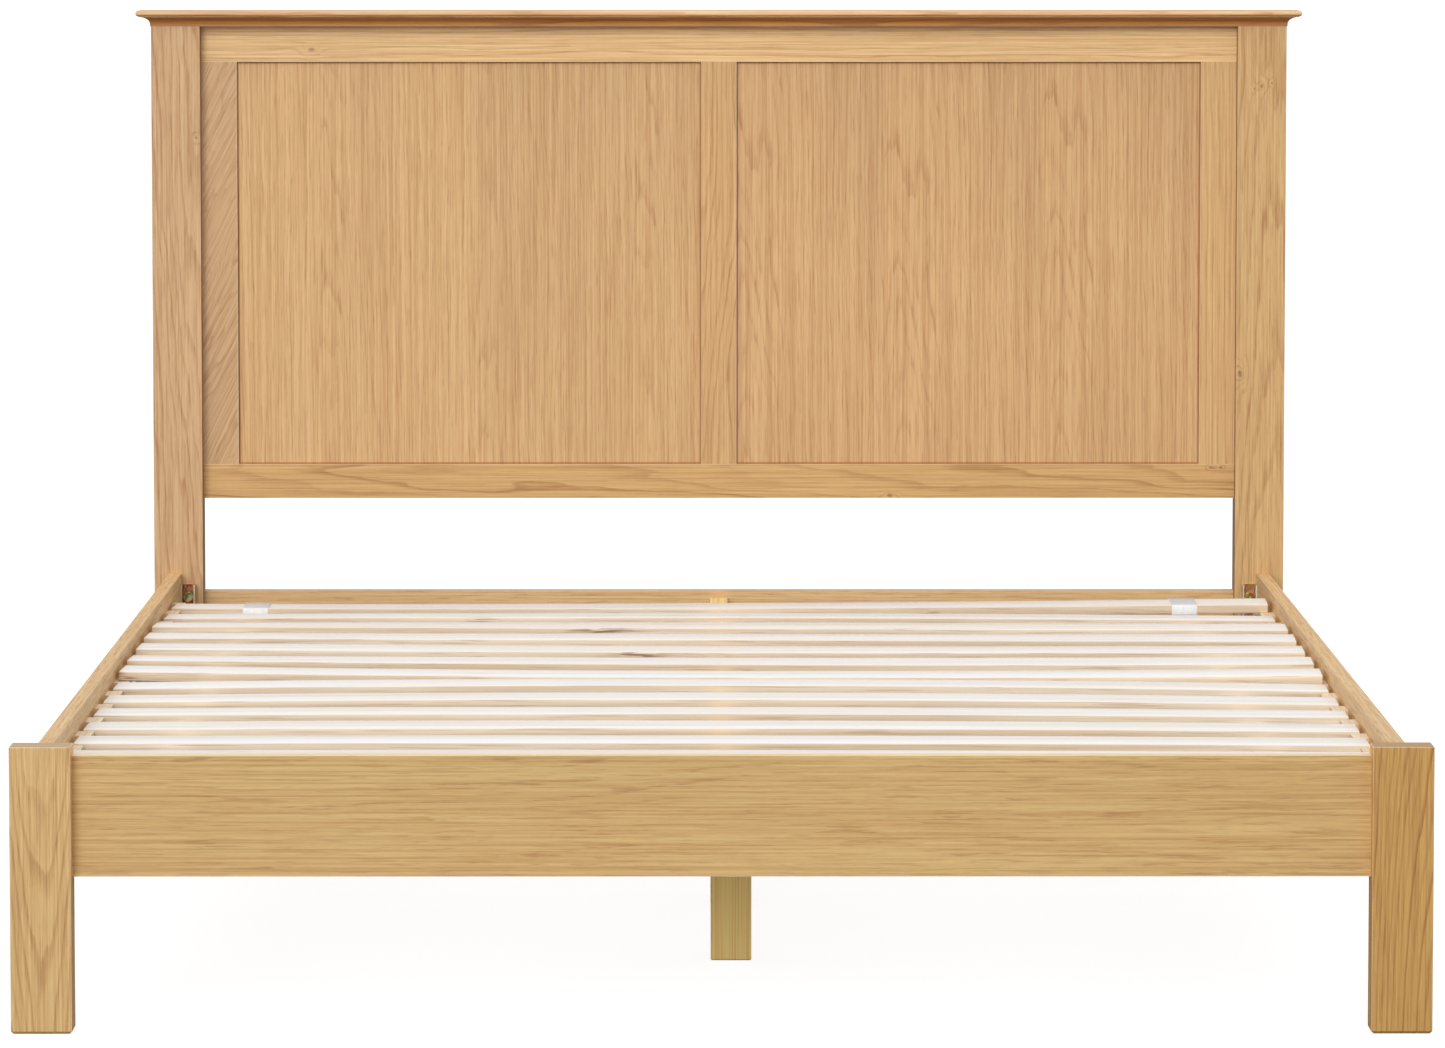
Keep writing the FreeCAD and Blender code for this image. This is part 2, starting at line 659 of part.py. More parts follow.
bolts, inserts = [], []
for side, face, into in CORNERS.values():
    for height in BOLT_HEIGHTS:
        web = face - into * (size("steel_thick") + 0.1)
        centre = (side * bracket_x, web, height)
        head = rod("bolt_head", 13.0, 5.0, centre, (0, -into, 0))
        socket = rod("bolt_socket", 6.0, 3.0, (centre[0], web - into * 5.0, height), (0, into, 0))
        shank = rod("bolt_shank", BOLT_DIAMETER, 22.0, centre, (0, into, 0))
        bolts.append(cut("bracket_bolt", joined("bolt_blank", [head, shank]), [socket]))
        sleeve = rod("insert_sleeve", INSERT_DIAMETER - CLEARANCE, INSERT_LENGTH,
                     (centre[0], face + into * 1.0, height), (0, into, 0))
        bore = rod("insert_bore", BOLT_DIAMETER + CLEARANCE, INSERT_LENGTH + 2.0,
                   (centre[0], face, height), (0, into, 0))
        inserts.append(cut("threaded_insert", sleeve, [bore]))
finished(group("bracket_bolts", bolts), "bracket_bolts")
finished(group("threaded_inserts", inserts), "threaded_inserts")

head_x = inner_x - BRACKET_GAP - size("steel_thick") - SCREW_HEAD_THICK
bracket_screws = [wood_screw((side * head_x, y, z), (side, 0, 0), 16.0)
                  for side, y, z in bracket_screw_spots]
finished(group("bracket_screws", bracket_screws), "bracket_screws")


# ---------------------------------------------------------------- centre beam, hangers and legs
HANGER_REACH = 30.0
HANGER_EAR_TOP = 278.5
LEG_BOLT_HOLE = LEG_BOLT + 0.5
beam_bottom = size("beam_top") - size("beam_height")
beam_side = size("beam_width") / 2
leg_left = -beam_side - 0.3
leg_y = [worth(FOOT_FACE) + size("leg_setback") + size("leg_width") / 2 + turn * size("leg_pitch")
         for turn in range(3)]

beam_blank = brick("centre_beam_blank",
                   ("-beam_width / 2", FOOT_FACE + " + foot_rail_recess + foot_rail_thick + 3",
                    "beam_top - beam_height"),
                   ("beam_width / 2", PANEL_FACE + " - 3", "beam_top"))
leg_bolt_spots = [(y, height) for y in leg_y for height in LEG_BOLT_HEIGHTS]
beam_holes = [rod("leg_bolt_hole", LEG_BOLT_HOLE, 60.0, (-30.0, y, z), (1, 0, 0))
              for y, z in leg_bolt_spots]
finished(cut("centre_beam", beam_blank, beam_holes), "centre_beam")


def beam_hanger(label, face, out):
    """A steel saddle under the end of the beam, with two ears screwed to the cross rail."""
    steel = size("steel_thick")
    spans = [(-beam_side - 0.3 - steel, -beam_side - 0.3, beam_bottom - steel, size("beam_top") - 10.0),
             (beam_side + 0.3, beam_side + 0.3 + steel, beam_bottom - steel, size("beam_top") - 10.0),
             (-beam_side - 0.3, beam_side + 0.3, beam_bottom - steel, beam_bottom - 0.1)]
    pieces = []
    for x_low, x_high, z_low, z_high in spans:
        ends = sorted((face + out * 0.1, face + out * HANGER_REACH))
        pieces.append(brick("saddle", (x_low, ends[0], z_low), (x_high, ends[1], z_high)))
    for side in SIDES.values():
        ends = sorted((face + out * 0.1, face + out * steel))
        span = sorted((side * (beam_side + 0.3), side * (beam_side + 22.0)))
        pieces.append(brick("ear", (span[0], ends[0], beam_bottom - steel),
                            (span[1], ends[1], HANGER_EAR_TOP)))
    holes = [rod("ear_hole", WOOD_SCREW + 0.6, 8.0, (x, face - out * 2.0, z), (0, out, 0))
             for x, z in hanger_screw_spots]
    finished(cut(label, joined(label + "_blank", pieces), holes), label)


beam_hanger("beam_hanger_foot", foot_rail_back, 1)
beam_hanger("beam_hanger_head", panel_face, -1)
hanger_screws = []
for face, out in ((foot_rail_back, 1), (panel_face, -1)):
    for x, z in hanger_screw_spots:
        spot = (x, face + out * (size("steel_thick") + 2.5), z)
        hanger_screws.append(wood_screw(spot, (0, -out, 0), 16.0))
finished(group("hanger_screws", hanger_screws), "hanger_screws")

leg_nodes = ("centre_leg_foot", "centre_leg_middle", "centre_leg_head")
leg_bolts, leg_nuts = [], []
for label, y in zip(leg_nodes, leg_y):
    body = doc.addObject("PartDesign::Body", label + "_blank")
    right = leg_left + size("leg_width")
    shoulder = beam_bottom - 0.1
    cheek = beam_side + 0.2
    corners = [(leg_left, 0), (right, 0), (right, size("beam_top") - 1.0), (cheek, size("beam_top") - 1.0),
               (cheek, shoulder), (leg_left, shoulder)]
    outline = polygon(sketch_on(body, label + "_outline", "XZ_Plane"), corners)
    outline.AttachmentOffset = Placement(Vector(0, 0, -y), Rotation())
    block = pad(body, outline, "leg_width", midplane=True)
    dressed(body, "Chamfer", block, edges_where(block, level_at(0.0)), 1.5)
    holes = [rod("leg_hole", LEG_BOLT_HOLE, 60.0, (-10.0, y, z), (1, 0, 0)) for z in LEG_BOLT_HEIGHTS]
    finished(cut(label, body, holes), label)
    for z in LEG_BOLT_HEIGHTS:
        head = rod("coach_head", 14.0, 3.0, (right + 3.1, y, z), (-1, 0, 0))
        shank = rod("coach_shank", LEG_BOLT, 62.0, (right + 3.1, y, z), (-1, 0, 0))
        leg_bolts.append(joined("leg_bolt", [head, shank]))
        washer = rod("washer", 14.0, 1.2, (-beam_side - 0.1, y, z), (-1, 0, 0))
        nut = doc.addObject("Part::Prism", "nut")
        nut.Polygon = 6
        nut.Circumradius = 5.8
        nut.Height = 5.0
        sideways = Rotation(Vector(0, 0, 1), Vector(-1, 0, 0))
        nut.Placement = Placement(Vector(-beam_side - 1.3, y, z), sideways)
        bore = rod("nut_bore", LEG_BOLT + 0.2, 12.0, (-beam_side + 2.0, y, z), (-1, 0, 0))
        leg_nuts.append(cut("washer_and_nut", joined("nut_blank", [washer, nut]), [bore]))
finished(group("leg_bolts", leg_bolts), "leg_bolts")
finished(group("leg_nuts", leg_nuts), "leg_nuts")


# ---------------------------------------------------------------- slats
# Each slat: distance of its middle from the foot face, lift of its left and right ends above
# the notch floor (a slat that isn't in its notches lies on top of the ledger), how far the left
# end lies nearer the headboard than the right, and how much the middle bows up or down.
IN_NOTCH = 0.0
ON_LEDGER = size("notch_depth")
SLATS = [
    # middle  left end   right end  askew  bow
    (1820.0, IN_NOTCH, ON_LEDGER, 46.0, -3.0),
    (1684.0, IN_NOTCH, IN_NOTCH, 28.0, 3.0),
    (1468.0, ON_LEDGER, ON_LEDGER, 34.0, 0.5),
    (1330.0, ON_LEDGER, ON_LEDGER, 34.0, -0.5),
    (1193.0, ON_LEDGER, ON_LEDGER, 40.0, -2.0),
    (1053.0, ON_LEDGER, ON_LEDGER, 36.0, -2.5),
    (923.0, ON_LEDGER, ON_LEDGER, 44.0, -5.0),
    (829.0, IN_NOTCH, IN_NOTCH, 28.0, 6.0),
    (684.0, IN_NOTCH, IN_NOTCH, 28.0, 5.0),
    (545.0, IN_NOTCH, IN_NOTCH, 28.0, 3.0),
    (400.0, IN_NOTCH, IN_NOTCH, 28.0, 3.0),
    (260.0, IN_NOTCH, IN_NOTCH, 24.0, 2.0),
    (121.0, IN_NOTCH, IN_NOTCH, 22.0, 1.5),
]
notch_floor = size("ledger_top") - size("notch_depth") + size("slat_gap")
half_slat = size("slat_length") / 2


def slat_rest(slat, x):
    """Height of a slat's underside and the place of its middle line at one place across the bed."""
    middle, left, right, askew, bow = slat
    part_way = x / half_slat
    level = notch_floor + (left + right) / 2 + (right - left) / 2 * part_way
    return (level + bow * (1.0 - part_way ** 2),
            worth(FOOT_FACE) + middle - askew / 2 * part_way)


def slat_section(sketch, bow):
    """Front view of a bowed slat: two shallow arcs joined by square ends."""
    thick = size("slat_thick")
    upper = Part.Arc(Vector(half_slat, thick, 0), Vector(0, thick + bow, 0),
                     Vector(-half_slat, thick, 0))
    lower = Part.Arc(Vector(-half_slat, 0, 0), Vector(0, bow, 0), Vector(half_slat, 0, 0))
    ends = [Part.LineSegment(Vector(-half_slat, thick, 0), Vector(-half_slat, 0, 0)),
            Part.LineSegment(Vector(half_slat, 0, 0), Vector(half_slat, thick, 0))]
    for piece in (upper, ends[0], lower, ends[1]):
        sketch.addGeometry(piece, False)


for number, slat in enumerate(SLATS, start=1):
    middle, left, right, askew, bow = slat
    label = "slat_%02d" % number
    body = doc.addObject("PartDesign::Body", label)
    sketch = sketch_on(body, label + "_front", "XZ_Plane")
    slat_section(sketch, bow)
    board = pad(body, sketch, "slat_width", midplane=True)
    doc.recompute()
    long_edges = edges_where(board, lambda a, b: abs(a.x - b.x) > half_slat)
    dressed(body, "Fillet", board, long_edges, 2.0)
    base = Vector(0, worth(FOOT_FACE) + middle, notch_floor + (left + right) / 2)
    yaw = Rotation(Vector(1, 0, 0), Vector(size("slat_length"), -askew, 0))
    tilt = Rotation(Vector(1, 0, 0), Vector(size("slat_length"), 0, right - left))
    body.Placement = Placement(base, yaw.multiply(tilt))
    finished(body, label)


# ---------------------------------------------------------------- webbing and its staples
LOOP_GAP = 0.4
LOOP_SAG = 1.5
STRAP_PASSES = 1.0


def webbing(label, x):
    """One strap under all the slats, which also wraps right round the slat at the headboard."""
    thick, half_width = size("webbing_thick"), size("slat_width") / 2
    rests = [slat_rest(slat, x) for slat in SLATS]
    top_line = []
    for under, middle in reversed(rests[1:]):
        lowest = under - LOOP_GAP
        top_line += [(middle - half_width - STRAP_PASSES, lowest),
                     (middle + half_width + STRAP_PASSES, lowest)]
    under, middle = rests[0]
    near, far = middle - half_width - STRAP_PASSES, middle + half_width + STRAP_PASSES
    low, high = under - LOOP_SAG, under + size("slat_thick") + LOOP_SAG
    ring = Part.makePolygon([Vector(x, y, z) for y, z in
                             ((near, low), (far, low), (far, high), (near, high), (near, low))])
    outer = Part.makePolygon([Vector(x, y, z) for y, z in
                              ((near - thick, low - thick), (far + thick, low - thick),
                               (far + thick, high + thick), (near - thick, high + thick),
                               (near - thick, low - thick))])
    band_top = top_line + [(near + 6.0, low)]
    band = band_top + [(y, z - thick) for y, z in reversed(band_top)]
    run = Part.makePolygon([Vector(x, y, z) for y, z in band + band[:1]])
    across = Vector(size("webbing_width"), 0, 0)
    loop = Part.Face(outer).cut(Part.Face(ring)).extrude(across)
    strap = loop.fuse(Part.Face(run).extrude(across)).removeSplitter()
    feature = doc.addObject("Part::Feature", label)
    feature.Shape = strap
    feature.Placement = Placement(Vector(-size("webbing_width") / 2, 0, 0), Rotation())
    finished(feature, label)


staples = []
for word, side in SIDES.items():
    x = side * size("webbing_x")
    webbing("webbing_" + word, x)
    for slat in SLATS[1:]:
        under, middle = slat_rest(slat, x)
        crown_top = under - LOOP_GAP - size("webbing_thick") - 0.05
        staples.append(brick("staple", (x - 5.0, middle - 0.6, crown_top - 0.7),
                             (x + 5.0, middle + 0.6, crown_top)))
finished(group("webbing_staples", staples), "webbing_staples")


# ---------------------------------------------------------------- checks and export
doc.recompute()
for thing in doc.Objects:
    faults = [state for state in thing.State if state in ("Invalid", "Error")]
    if faults:
        raise RuntimeError("%s is %s" % (thing.Name, faults))
for label, feature in nodes:
    shape = feature.Shape
    if shape.isNull() or not shape.isValid() or not shape.Solids:
        raise RuntimeError("%s has no valid solid" % label)
    box = shape.BoundBox
    print("%-24s %2d solid(s)  x %8.1f %8.1f  y %8.1f %8.1f  z %7.1f %7.1f" % (
        label, len(shape.Solids), box.XMin, box.XMax, box.YMin, box.YMax, box.ZMin, box.ZMax))

os.makedirs("parts", exist_ok=True)
for label, feature in nodes:
    feature.Shape.exportStep(os.path.join("parts", label + ".step"))
print("%d nodes written" % len(nodes))
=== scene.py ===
# %% [markdown]
# # A double bed frame, dressed in oak
# This lesson takes a finished mechanical model of a wooden bed frame and makes it look like
# the real thing. The model arrives as a fixed frame: every rail, post and screw is already in
# its place, in metres, with X across the bed, Y from the foot to the headboard and Z up.
# What is left to do is the part a cabinet maker does with planes, stains and lacquer.

# %% Load the fixed frame
import math

import bpy
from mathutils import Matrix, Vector
from mathutils.bvhtree import BVHTree


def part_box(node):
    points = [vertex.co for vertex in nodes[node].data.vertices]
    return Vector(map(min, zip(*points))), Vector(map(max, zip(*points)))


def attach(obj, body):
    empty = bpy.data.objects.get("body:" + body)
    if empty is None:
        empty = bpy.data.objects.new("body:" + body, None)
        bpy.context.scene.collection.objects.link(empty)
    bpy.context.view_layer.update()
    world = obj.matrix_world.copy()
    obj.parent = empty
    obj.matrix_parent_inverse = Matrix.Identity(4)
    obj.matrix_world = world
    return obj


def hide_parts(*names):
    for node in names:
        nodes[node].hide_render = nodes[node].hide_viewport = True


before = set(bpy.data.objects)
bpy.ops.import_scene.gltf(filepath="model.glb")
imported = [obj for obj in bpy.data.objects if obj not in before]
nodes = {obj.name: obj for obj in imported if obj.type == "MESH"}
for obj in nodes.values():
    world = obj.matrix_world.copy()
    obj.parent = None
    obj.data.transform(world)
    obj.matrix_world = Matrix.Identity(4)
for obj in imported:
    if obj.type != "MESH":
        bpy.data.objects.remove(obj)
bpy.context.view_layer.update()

# %% [markdown]
# ## Small tools for the bench
# Operators work on whatever is selected, and the loaded frame comes in selected. So each new
# piece starts from a clean bench, and edges are picked by where they lie, not by number.

# %% Selecting and shaping helpers
MM = 0.001


def switch_to(mode):
    bpy.ops.object.mode_set(mode=mode)


def clear_bench():
    """Nothing selected, nothing in edit mode."""
    if bpy.context.object and bpy.context.object.mode == "EDIT":
        switch_to("OBJECT")
    bpy.ops.object.select_all(action="DESELECT")


def start_block(name, low, high):
    """A cube primitive with the two given corners, ready in edit mode."""
    clear_bench()
    middle = (Vector(low) + Vector(high)) / 2
    bpy.ops.mesh.primitive_cube_add(size=1.0, location=middle)
    block = bpy.context.object
    block.name = block.data.name = name
    block.scale = Vector(high) - Vector(low)
    bpy.ops.object.transform_apply(location=True, rotation=True, scale=True)
    switch_to("EDIT")
    bpy.ops.mesh.select_mode(type="EDGE")
    return block


def pick_edges(piece, test):
    """Selects the edges whose two ends pass the test."""
    bpy.ops.mesh.select_all(action="DESELECT")
    switch_to("OBJECT")
    spots = [v.co for v in piece.data.vertices]
    for edge in piece.data.edges:
        edge.select = test(spots[edge.vertices[0]], spots[edge.vertices[1]])
    switch_to("EDIT")


def own_copy(piece, name):
    """A copy with its own mesh."""
    twin = piece.copy()
    twin.data = piece.data.copy()
    twin.name = twin.data.name = name
    bpy.context.collection.objects.link(twin)
    return twin


def report(piece):
    print(piece.name, "faces:", len(piece.data.polygons))


clear_bench()
print("bench clear, selected pieces:", len(bpy.context.selected_objects))

# %% [markdown]
# ## Node helpers
# Every finish below is a tree of shader nodes. Writing them out one by one hides the idea, so
# a small bench class places a node, feeds its inputs with numbers or with other nodes'
# outputs, and hands back the output to use next.

# %% The node bench
class Bench:
    """Places nodes in a tree. A value is a number, a tuple or another node's output."""

    def __init__(self, tree):
        self.tree = tree

    def feed(self, socket, value):
        if isinstance(value, bpy.types.NodeSocket):
            self.tree.links.new(value, socket)
        else:
            socket.default_value = value

    def place(self, kind, values, **settings):
        node = self.tree.nodes.new("ShaderNode" + kind)
        for name, setting in settings.items():
            setattr(node, name, setting)
        for key, value in values.items():
            self.feed(node.inputs[key], value)
        return node

    def group(self, tree, values):
        """Places one of the groups made below."""
        return self.place("Group", values, node_tree=tree).outputs

    def hand_out(self, wanted, **values):
        """Feeds a group's outputs and ends the group."""
        for label, value in values.items():
            self.feed(wanted[label], value)
        return self.tree

    def where(self):
        """The outputs that tell a point's position and the way its face looks."""
        return self.place("TexCoord", {}).outputs

    def mapped(self, value, **moves):
        """A position or a direction, seen from a frame that was moved and turned."""
        values = {"Vector": value, **moves}
        return self.place("Mapping", values, vector_type="TEXTURE").outputs[0]

    def do(self, operation, *values):
        return self.place("Math", dict(enumerate(values)), operation=operation).outputs[0]

    def plus(self, one, other):
        return self.do("ADD", one, other)

    def less(self, one, other):
        return self.do("SUBTRACT", one, other)

    def times(self, one, other):
        return self.do("MULTIPLY", one, other)

    def vector(self, operation, *values):
        return self.place("VectorMath", dict(enumerate(values)), operation=operation).outputs[0]

    def length(self, value):
        return self.place("VectorMath", {0: value}, operation="LENGTH").outputs["Value"]

    def parts(self, value):
        return self.place("SeparateXYZ", {0: value}).outputs

    def join(self, x, y, z):
        return self.place("CombineXYZ", {0: x, 1: y, 2: z}).outputs[0]

    def noise(self, position, stretch, detail=2.0, roughness=0.5):
        """Cloudy noise from 0 to 1, stretched differently along the three axes."""
        spot = self.vector("MULTIPLY", position, stretch)
        values = {"Vector": spot, "Scale": 1.0, "Detail": detail, "Roughness": roughness}
        return self.place("TexNoise", values).outputs[0]

    def ease(self, value, low, high, start=0.0, end=1.0):
        """A smooth step from start to end as value goes from low to high."""
        values = {"Value": value, "From Min": low, "From Max": high, "To Min": start, "To Max": end}
        return self.place("MapRange", values, interpolation_type="SMOOTHSTEP").outputs[0]

    def scaled(self, value, low, high):
        """A straight change of range, from 0..1 to low..high."""
        return self.place("MapRange", {"Value": value, "To Min": low, "To Max": high}).outputs[0]

    def swing(self, value, amount):
        """A value from 0..1 turned into a swing about nought of that amount."""
        return self.times(self.less(value, 0.5), amount)

    def tint(self, amount, under, over, way="MIX"):
        """One colour laid over another by amount."""
        node = self.place("Mix", {0: amount, 6: under, 7: over}, data_type="RGBA", blend_type=way)
        return node.outputs[2]


print("node bench:", len([name for name in vars(Bench) if name[0] != "_"]), "tools")

# %% [markdown]
# ## Finishes and groups
# A finish is a bench on a material's own tree. It is coated once, and later steps can lay one
# more tone over it. A group is a bench that several finishes share.

# %% Starting a finish or a group
class Finish(Bench):
    """A bench on a material's tree, with its shader's inputs at hand."""

    def __init__(self, material):
        super().__init__(material.node_tree)
        self.material = material
        self.node = material.node_tree.nodes["Principled BSDF"]
        self.shader = self.node.inputs

    def coat(self, color, roughness, height, strength, depth):
        relief = self.place("Bump", {"Strength": strength, "Distance": depth, "Height": height})
        self.feed(self.shader["Base Color"], color)
        self.feed(self.shader["Roughness"], roughness)
        self.feed(self.shader["Normal"], relief.outputs["Normal"])
        return self.material

    def lay_over(self, amount, toned, way="MULTIPLY"):
        """One more tone over the colour that is already there."""
        before = self.shader["Base Color"].links[0].from_socket
        self.feed(self.shader["Base Color"], self.tint(amount, before, toned, way))


def new_finish(name):
    material = bpy.data.materials.new(name)
    material.use_nodes = True
    return Finish(material)


def new_group(name, inputs, outputs):
    """A node group with sockets listed by kind, and a bench to fill it on."""
    tree = bpy.data.node_groups.new(name, "ShaderNodeTree")
    for sockets, way in ((inputs, "INPUT"), (outputs, "OUTPUT")):
        for kind, labels in sockets.items():
            for label in labels.split(", "):
                tree.interface.new_socket(name=label, in_out=way, socket_type="NodeSocket" + kind)
    given = tree.nodes.new("NodeGroupInput").outputs
    wanted = tree.nodes.new("NodeGroupOutput").inputs
    return Bench(tree), given, wanted


def tone(red, green, blue):
    """A colour as a maker reads it from a swatch, 0 to 255, turned into linear light."""
    def linear(step):
        part = step / 255.0
        return part / 12.92 if part <= 0.04045 else ((part + 0.055) / 1.055) ** 2.4
    return (linear(red), linear(green), linear(blue), 1.0)


print("middle grey in linear light: %.3f" % tone(128, 128, 128)[0])

# %% [markdown]
# ## How an oak board gets its figure
# A tree grows in rings round its pith. A sawn board is a flat slice through those rings, so
# the figure on its face is set by where the pith was and by how far it leaned along the
# board. The group below works out each point's distance from a leaning pith line. Near the
# pith that gives the nested arches of flat-sawn timber, and far from it straight lines.
# Building the pattern from the tree's own geometry keeps the figure joined up round every
# corner of the board, which a flat picture of grain can't do.

# %% Growth figure: rings, fibres and pores
SEED_STEPS = (7.31, 3.17, 11.9)
# How tightly each pattern is packed across, through and along the board, in waves a metre.
BOW = (0.0, 0.0, 2.2)
SWEEP = (14.0, 14.0, 1.7)
RIPPLE = (70.0, 70.0, 9.0)
THREADS = (400.0, 400.0, 3.0)
DASHES = (430.0, 430.0, 20.0)
FLECKS = (1500.0, 1500.0, 90.0)
CLOUDS = (9.0, 9.0, 1.6)
# The parts of one ring in which its dark band comes up and fades again.
BAND_RISE, BAND_FADE = (0.0, 0.08), (0.1, 0.48)
RIPPLE_SHARE = 0.2
YEARS_PER_WAVE = 0.55


def growth_figure():
    bench, given, wanted = new_group(
        "Growth figure", {"Vector": "Position, Pith", "Float": "Lean, Ring, Wander, Swell, Seed"},
        {"Float": "Growth, Fibre, Pores, Cloud"})
    x, y, z = bench.parts(given["Position"])
    pith_x, pith_y, _ = bench.parts(given["Pith"])
    shift = bench.join(*[bench.times(given["Seed"], step) for step in SEED_STEPS])
    seeded = bench.vector("ADD", given["Position"], shift)
    bend = bench.swing(bench.noise(seeded, BOW, 1.0), given["Wander"])
    across = bench.plus(bench.less(x, pith_x), bend)
    depth = bench.plus(bench.less(y, pith_y), bench.times(z, given["Lean"]))
    reach = bench.length(bench.join(across, depth, 0.0))
    moved = bench.plus(bench.less(bench.noise(seeded, SWEEP), 0.5),
                     bench.swing(bench.noise(seeded, RIPPLE), RIPPLE_SHARE))
    reach = bench.plus(reach, bench.times(moved, given["Wander"]))
    turns = bench.do("DIVIDE", bench.plus(reach, given["Swell"]), given["Ring"])
    part = bench.do("FRACT", turns)
    band = bench.times(bench.ease(part, *BAND_RISE),
                    bench.ease(part, *BAND_FADE, 1.0, 0.0))
    waves = {"W": bench.times(turns, YEARS_PER_WAVE), "Scale": 1.0, "Detail": 1.0}
    year = bench.place("TexNoise", waves, noise_dimensions="1D").outputs[0]
    growth = bench.times(band, bench.ease(year, 0.3, 0.7, 0.25, 1.0))
    fibre = bench.ease(bench.noise(seeded, THREADS, 3.0, 0.6), 0.3, 0.7)
    dashes = bench.ease(bench.noise(seeded, DASHES, 1.0), 0.53, 0.64)
    flecks = bench.ease(bench.noise(seeded, FLECKS, 0.0), 0.55, 0.68)
    dark = bench.plus(bench.times(dashes, 0.75), bench.times(flecks, 0.35))
    pores = bench.times(dark, bench.scaled(growth, 0.45, 1.0))
    return bench.hand_out(wanted, Growth=growth, Fibre=fibre, Pores=pores,
                          Cloud=bench.noise(seeded, CLOUDS))


GROWTH = growth_figure()
print("group:", GROWTH.name, len(GROWTH.nodes), "nodes")

# %% [markdown]
# ## Knots
# A knot is the root of a branch. The trunk's rings swell round it, and its heart is dark. The
# group gives a swell to add to the ring distance, so that the grain really bends round the
# knot, and a mask for the heart.

# %% Knot group
KNOT_OVAL = (1.0, 0.0, 0.6)
KNOT_OUTLINE = (160.0, 160.0, 90.0)
KNOT_CRACKS = (900.0, 900.0, 420.0)
SWELL_NARROW, SWELL_PUSH = 0.42, 3.2
LEAST_RADIUS = 1e-5


def knot_figure():
    bench, given, wanted = new_group(
        "Knot", {"Vector": "Position, Place", "Float": "Radius"}, {"Float": "Swell, Heart"})
    away = bench.vector("SUBTRACT", given["Position"], given["Place"])
    rough = bench.scaled(bench.noise(given["Position"], KNOT_OUTLINE), 0.6, 1.4)
    gap = bench.times(bench.length(bench.vector("MULTIPLY", away, KNOT_OVAL)), rough)
    share = bench.do("DIVIDE", gap, bench.do("MAXIMUM", given["Radius"], LEAST_RADIUS))
    slope = bench.do("POWER", bench.times(share, SWELL_NARROW), 2.0)
    hill = bench.do("EXPONENT", bench.times(slope, -1.0))
    raised = bench.times(bench.times(hill, given["Radius"]), SWELL_PUSH)
    inner = bench.ease(share, 0.3, 1.15, 0.85, 0.0)
    crack = bench.ease(bench.noise(given["Position"], KNOT_CRACKS), 0.4, 0.62, 0.45, 1.0)
    return bench.hand_out(wanted, Swell=raised, Heart=bench.times(inner, crack))


KNOT = knot_figure()
print("group:", KNOT.name, len(KNOT.nodes), "nodes")

# %% [markdown]
# ## Handled edges
# Sanding and lacquer leave a board's corners a little lighter than its faces. The group
# measures how near a point is to the nearest edge of the board's box: the second smallest of
# its distances from the three pairs of faces.

# %% Arris group
ARRIS_WIDTH = 1.6 * MM
ARRIS_PATCHES = (90.0, 90.0, 25.0)


def arris_figure():
    bench, given, wanted = new_group(
        "Arris", {"Vector": "Position, Half size", "Float": "Width"}, {"Float": "Edge"})
    away = bench.vector("ABSOLUTE", given["Position"])
    x, y, z = bench.parts(bench.vector("SUBTRACT", given["Half size"], away))
    high = bench.do("MINIMUM", bench.do("MAXIMUM", x, y), z)
    second = bench.do("MAXIMUM", bench.do("MINIMUM", x, y), high)
    patchy = bench.scaled(bench.noise(given["Position"], ARRIS_PATCHES), 0.4, 1.6)
    share = bench.do("DIVIDE", second, bench.times(given["Width"], patchy))
    return bench.hand_out(wanted, Edge=bench.ease(share, 0.0, 1.0, 1.0, 0.0))


ARRIS = arris_figure()
print("group:", ARRIS.name, len(ARRIS.nodes), "nodes")

# %% [markdown]
# ## From figure to finished timber
# One more group turns the masks into what a lacquered board shows: a pale body, darker
# growth bands, brown pores, slow clouds of tone, dark knot hearts, greyer end grain and light
# edges. It hands back a colour, a roughness and a height, and each timber sets its own
# colours, so oak and pine both come from the same group.

# %% Timber group
STREAK_DEPTH = 0.32
# A fibre's red, green and blue swing by these shares, so that a dark fibre is also warmer.
WARMTH = (0.7, 1.1, 1.5)
WORN_EDGE = (1.0, 0.93, 0.8, 1.0)
END_SHARE, EDGE_SHARE = 0.75, 0.22
PORE_ROUGHNESS, CLOUD_ROUGHNESS = 0.18, 0.12
FIBRE_HEIGHT, BAND_HEIGHT = 0.25, 0.2


def timber_figure():
    bench, given, wanted = new_group(
        "Timber", {"Float": "Growth, Fibre, Pores, Cloud, Heart, Edge, End, Band depth, "
                            "Pore depth, Cloud depth, Sheen",
                   "Color": "Pale, Band, Pore, Knot, End tone"},
        {"Color": "Color", "Float": "Roughness, Height"})
    color = bench.tint(bench.times(given["Growth"], given["Band depth"]),
                       given["Pale"], given["Band"])
    streak = bench.swing(given["Fibre"], STREAK_DEPTH)
    base = bench.plus(bench.swing(given["Cloud"], given["Cloud depth"]), 1.0)
    levels = [bench.plus(base, bench.times(streak, share)) for share in WARMTH]
    color = bench.tint(1.0, color, bench.join(*levels), "MULTIPLY")
    dark = bench.times(given["Pores"], given["Pore depth"])
    color = bench.tint(dark, color, given["Pore"])
    color = bench.tint(given["Heart"], color, given["Knot"])
    color = bench.tint(bench.times(given["End"], END_SHARE), color, given["End tone"])
    color = bench.tint(bench.times(given["Edge"], EDGE_SHARE), color, WORN_EDGE)
    rough = bench.plus(given["Sheen"], bench.times(given["Pores"], PORE_ROUGHNESS))
    rough = bench.plus(rough, bench.swing(given["Cloud"], CLOUD_ROUGHNESS))
    height = bench.less(bench.times(given["Fibre"], FIBRE_HEIGHT), given["Pores"])
    height = bench.less(height, bench.times(given["Growth"], BAND_HEIGHT))
    return bench.hand_out(wanted, Color=color, Roughness=rough, Height=height)


TIMBER = timber_figure()
print("group:", TIMBER.name, len(TIMBER.nodes), "nodes")

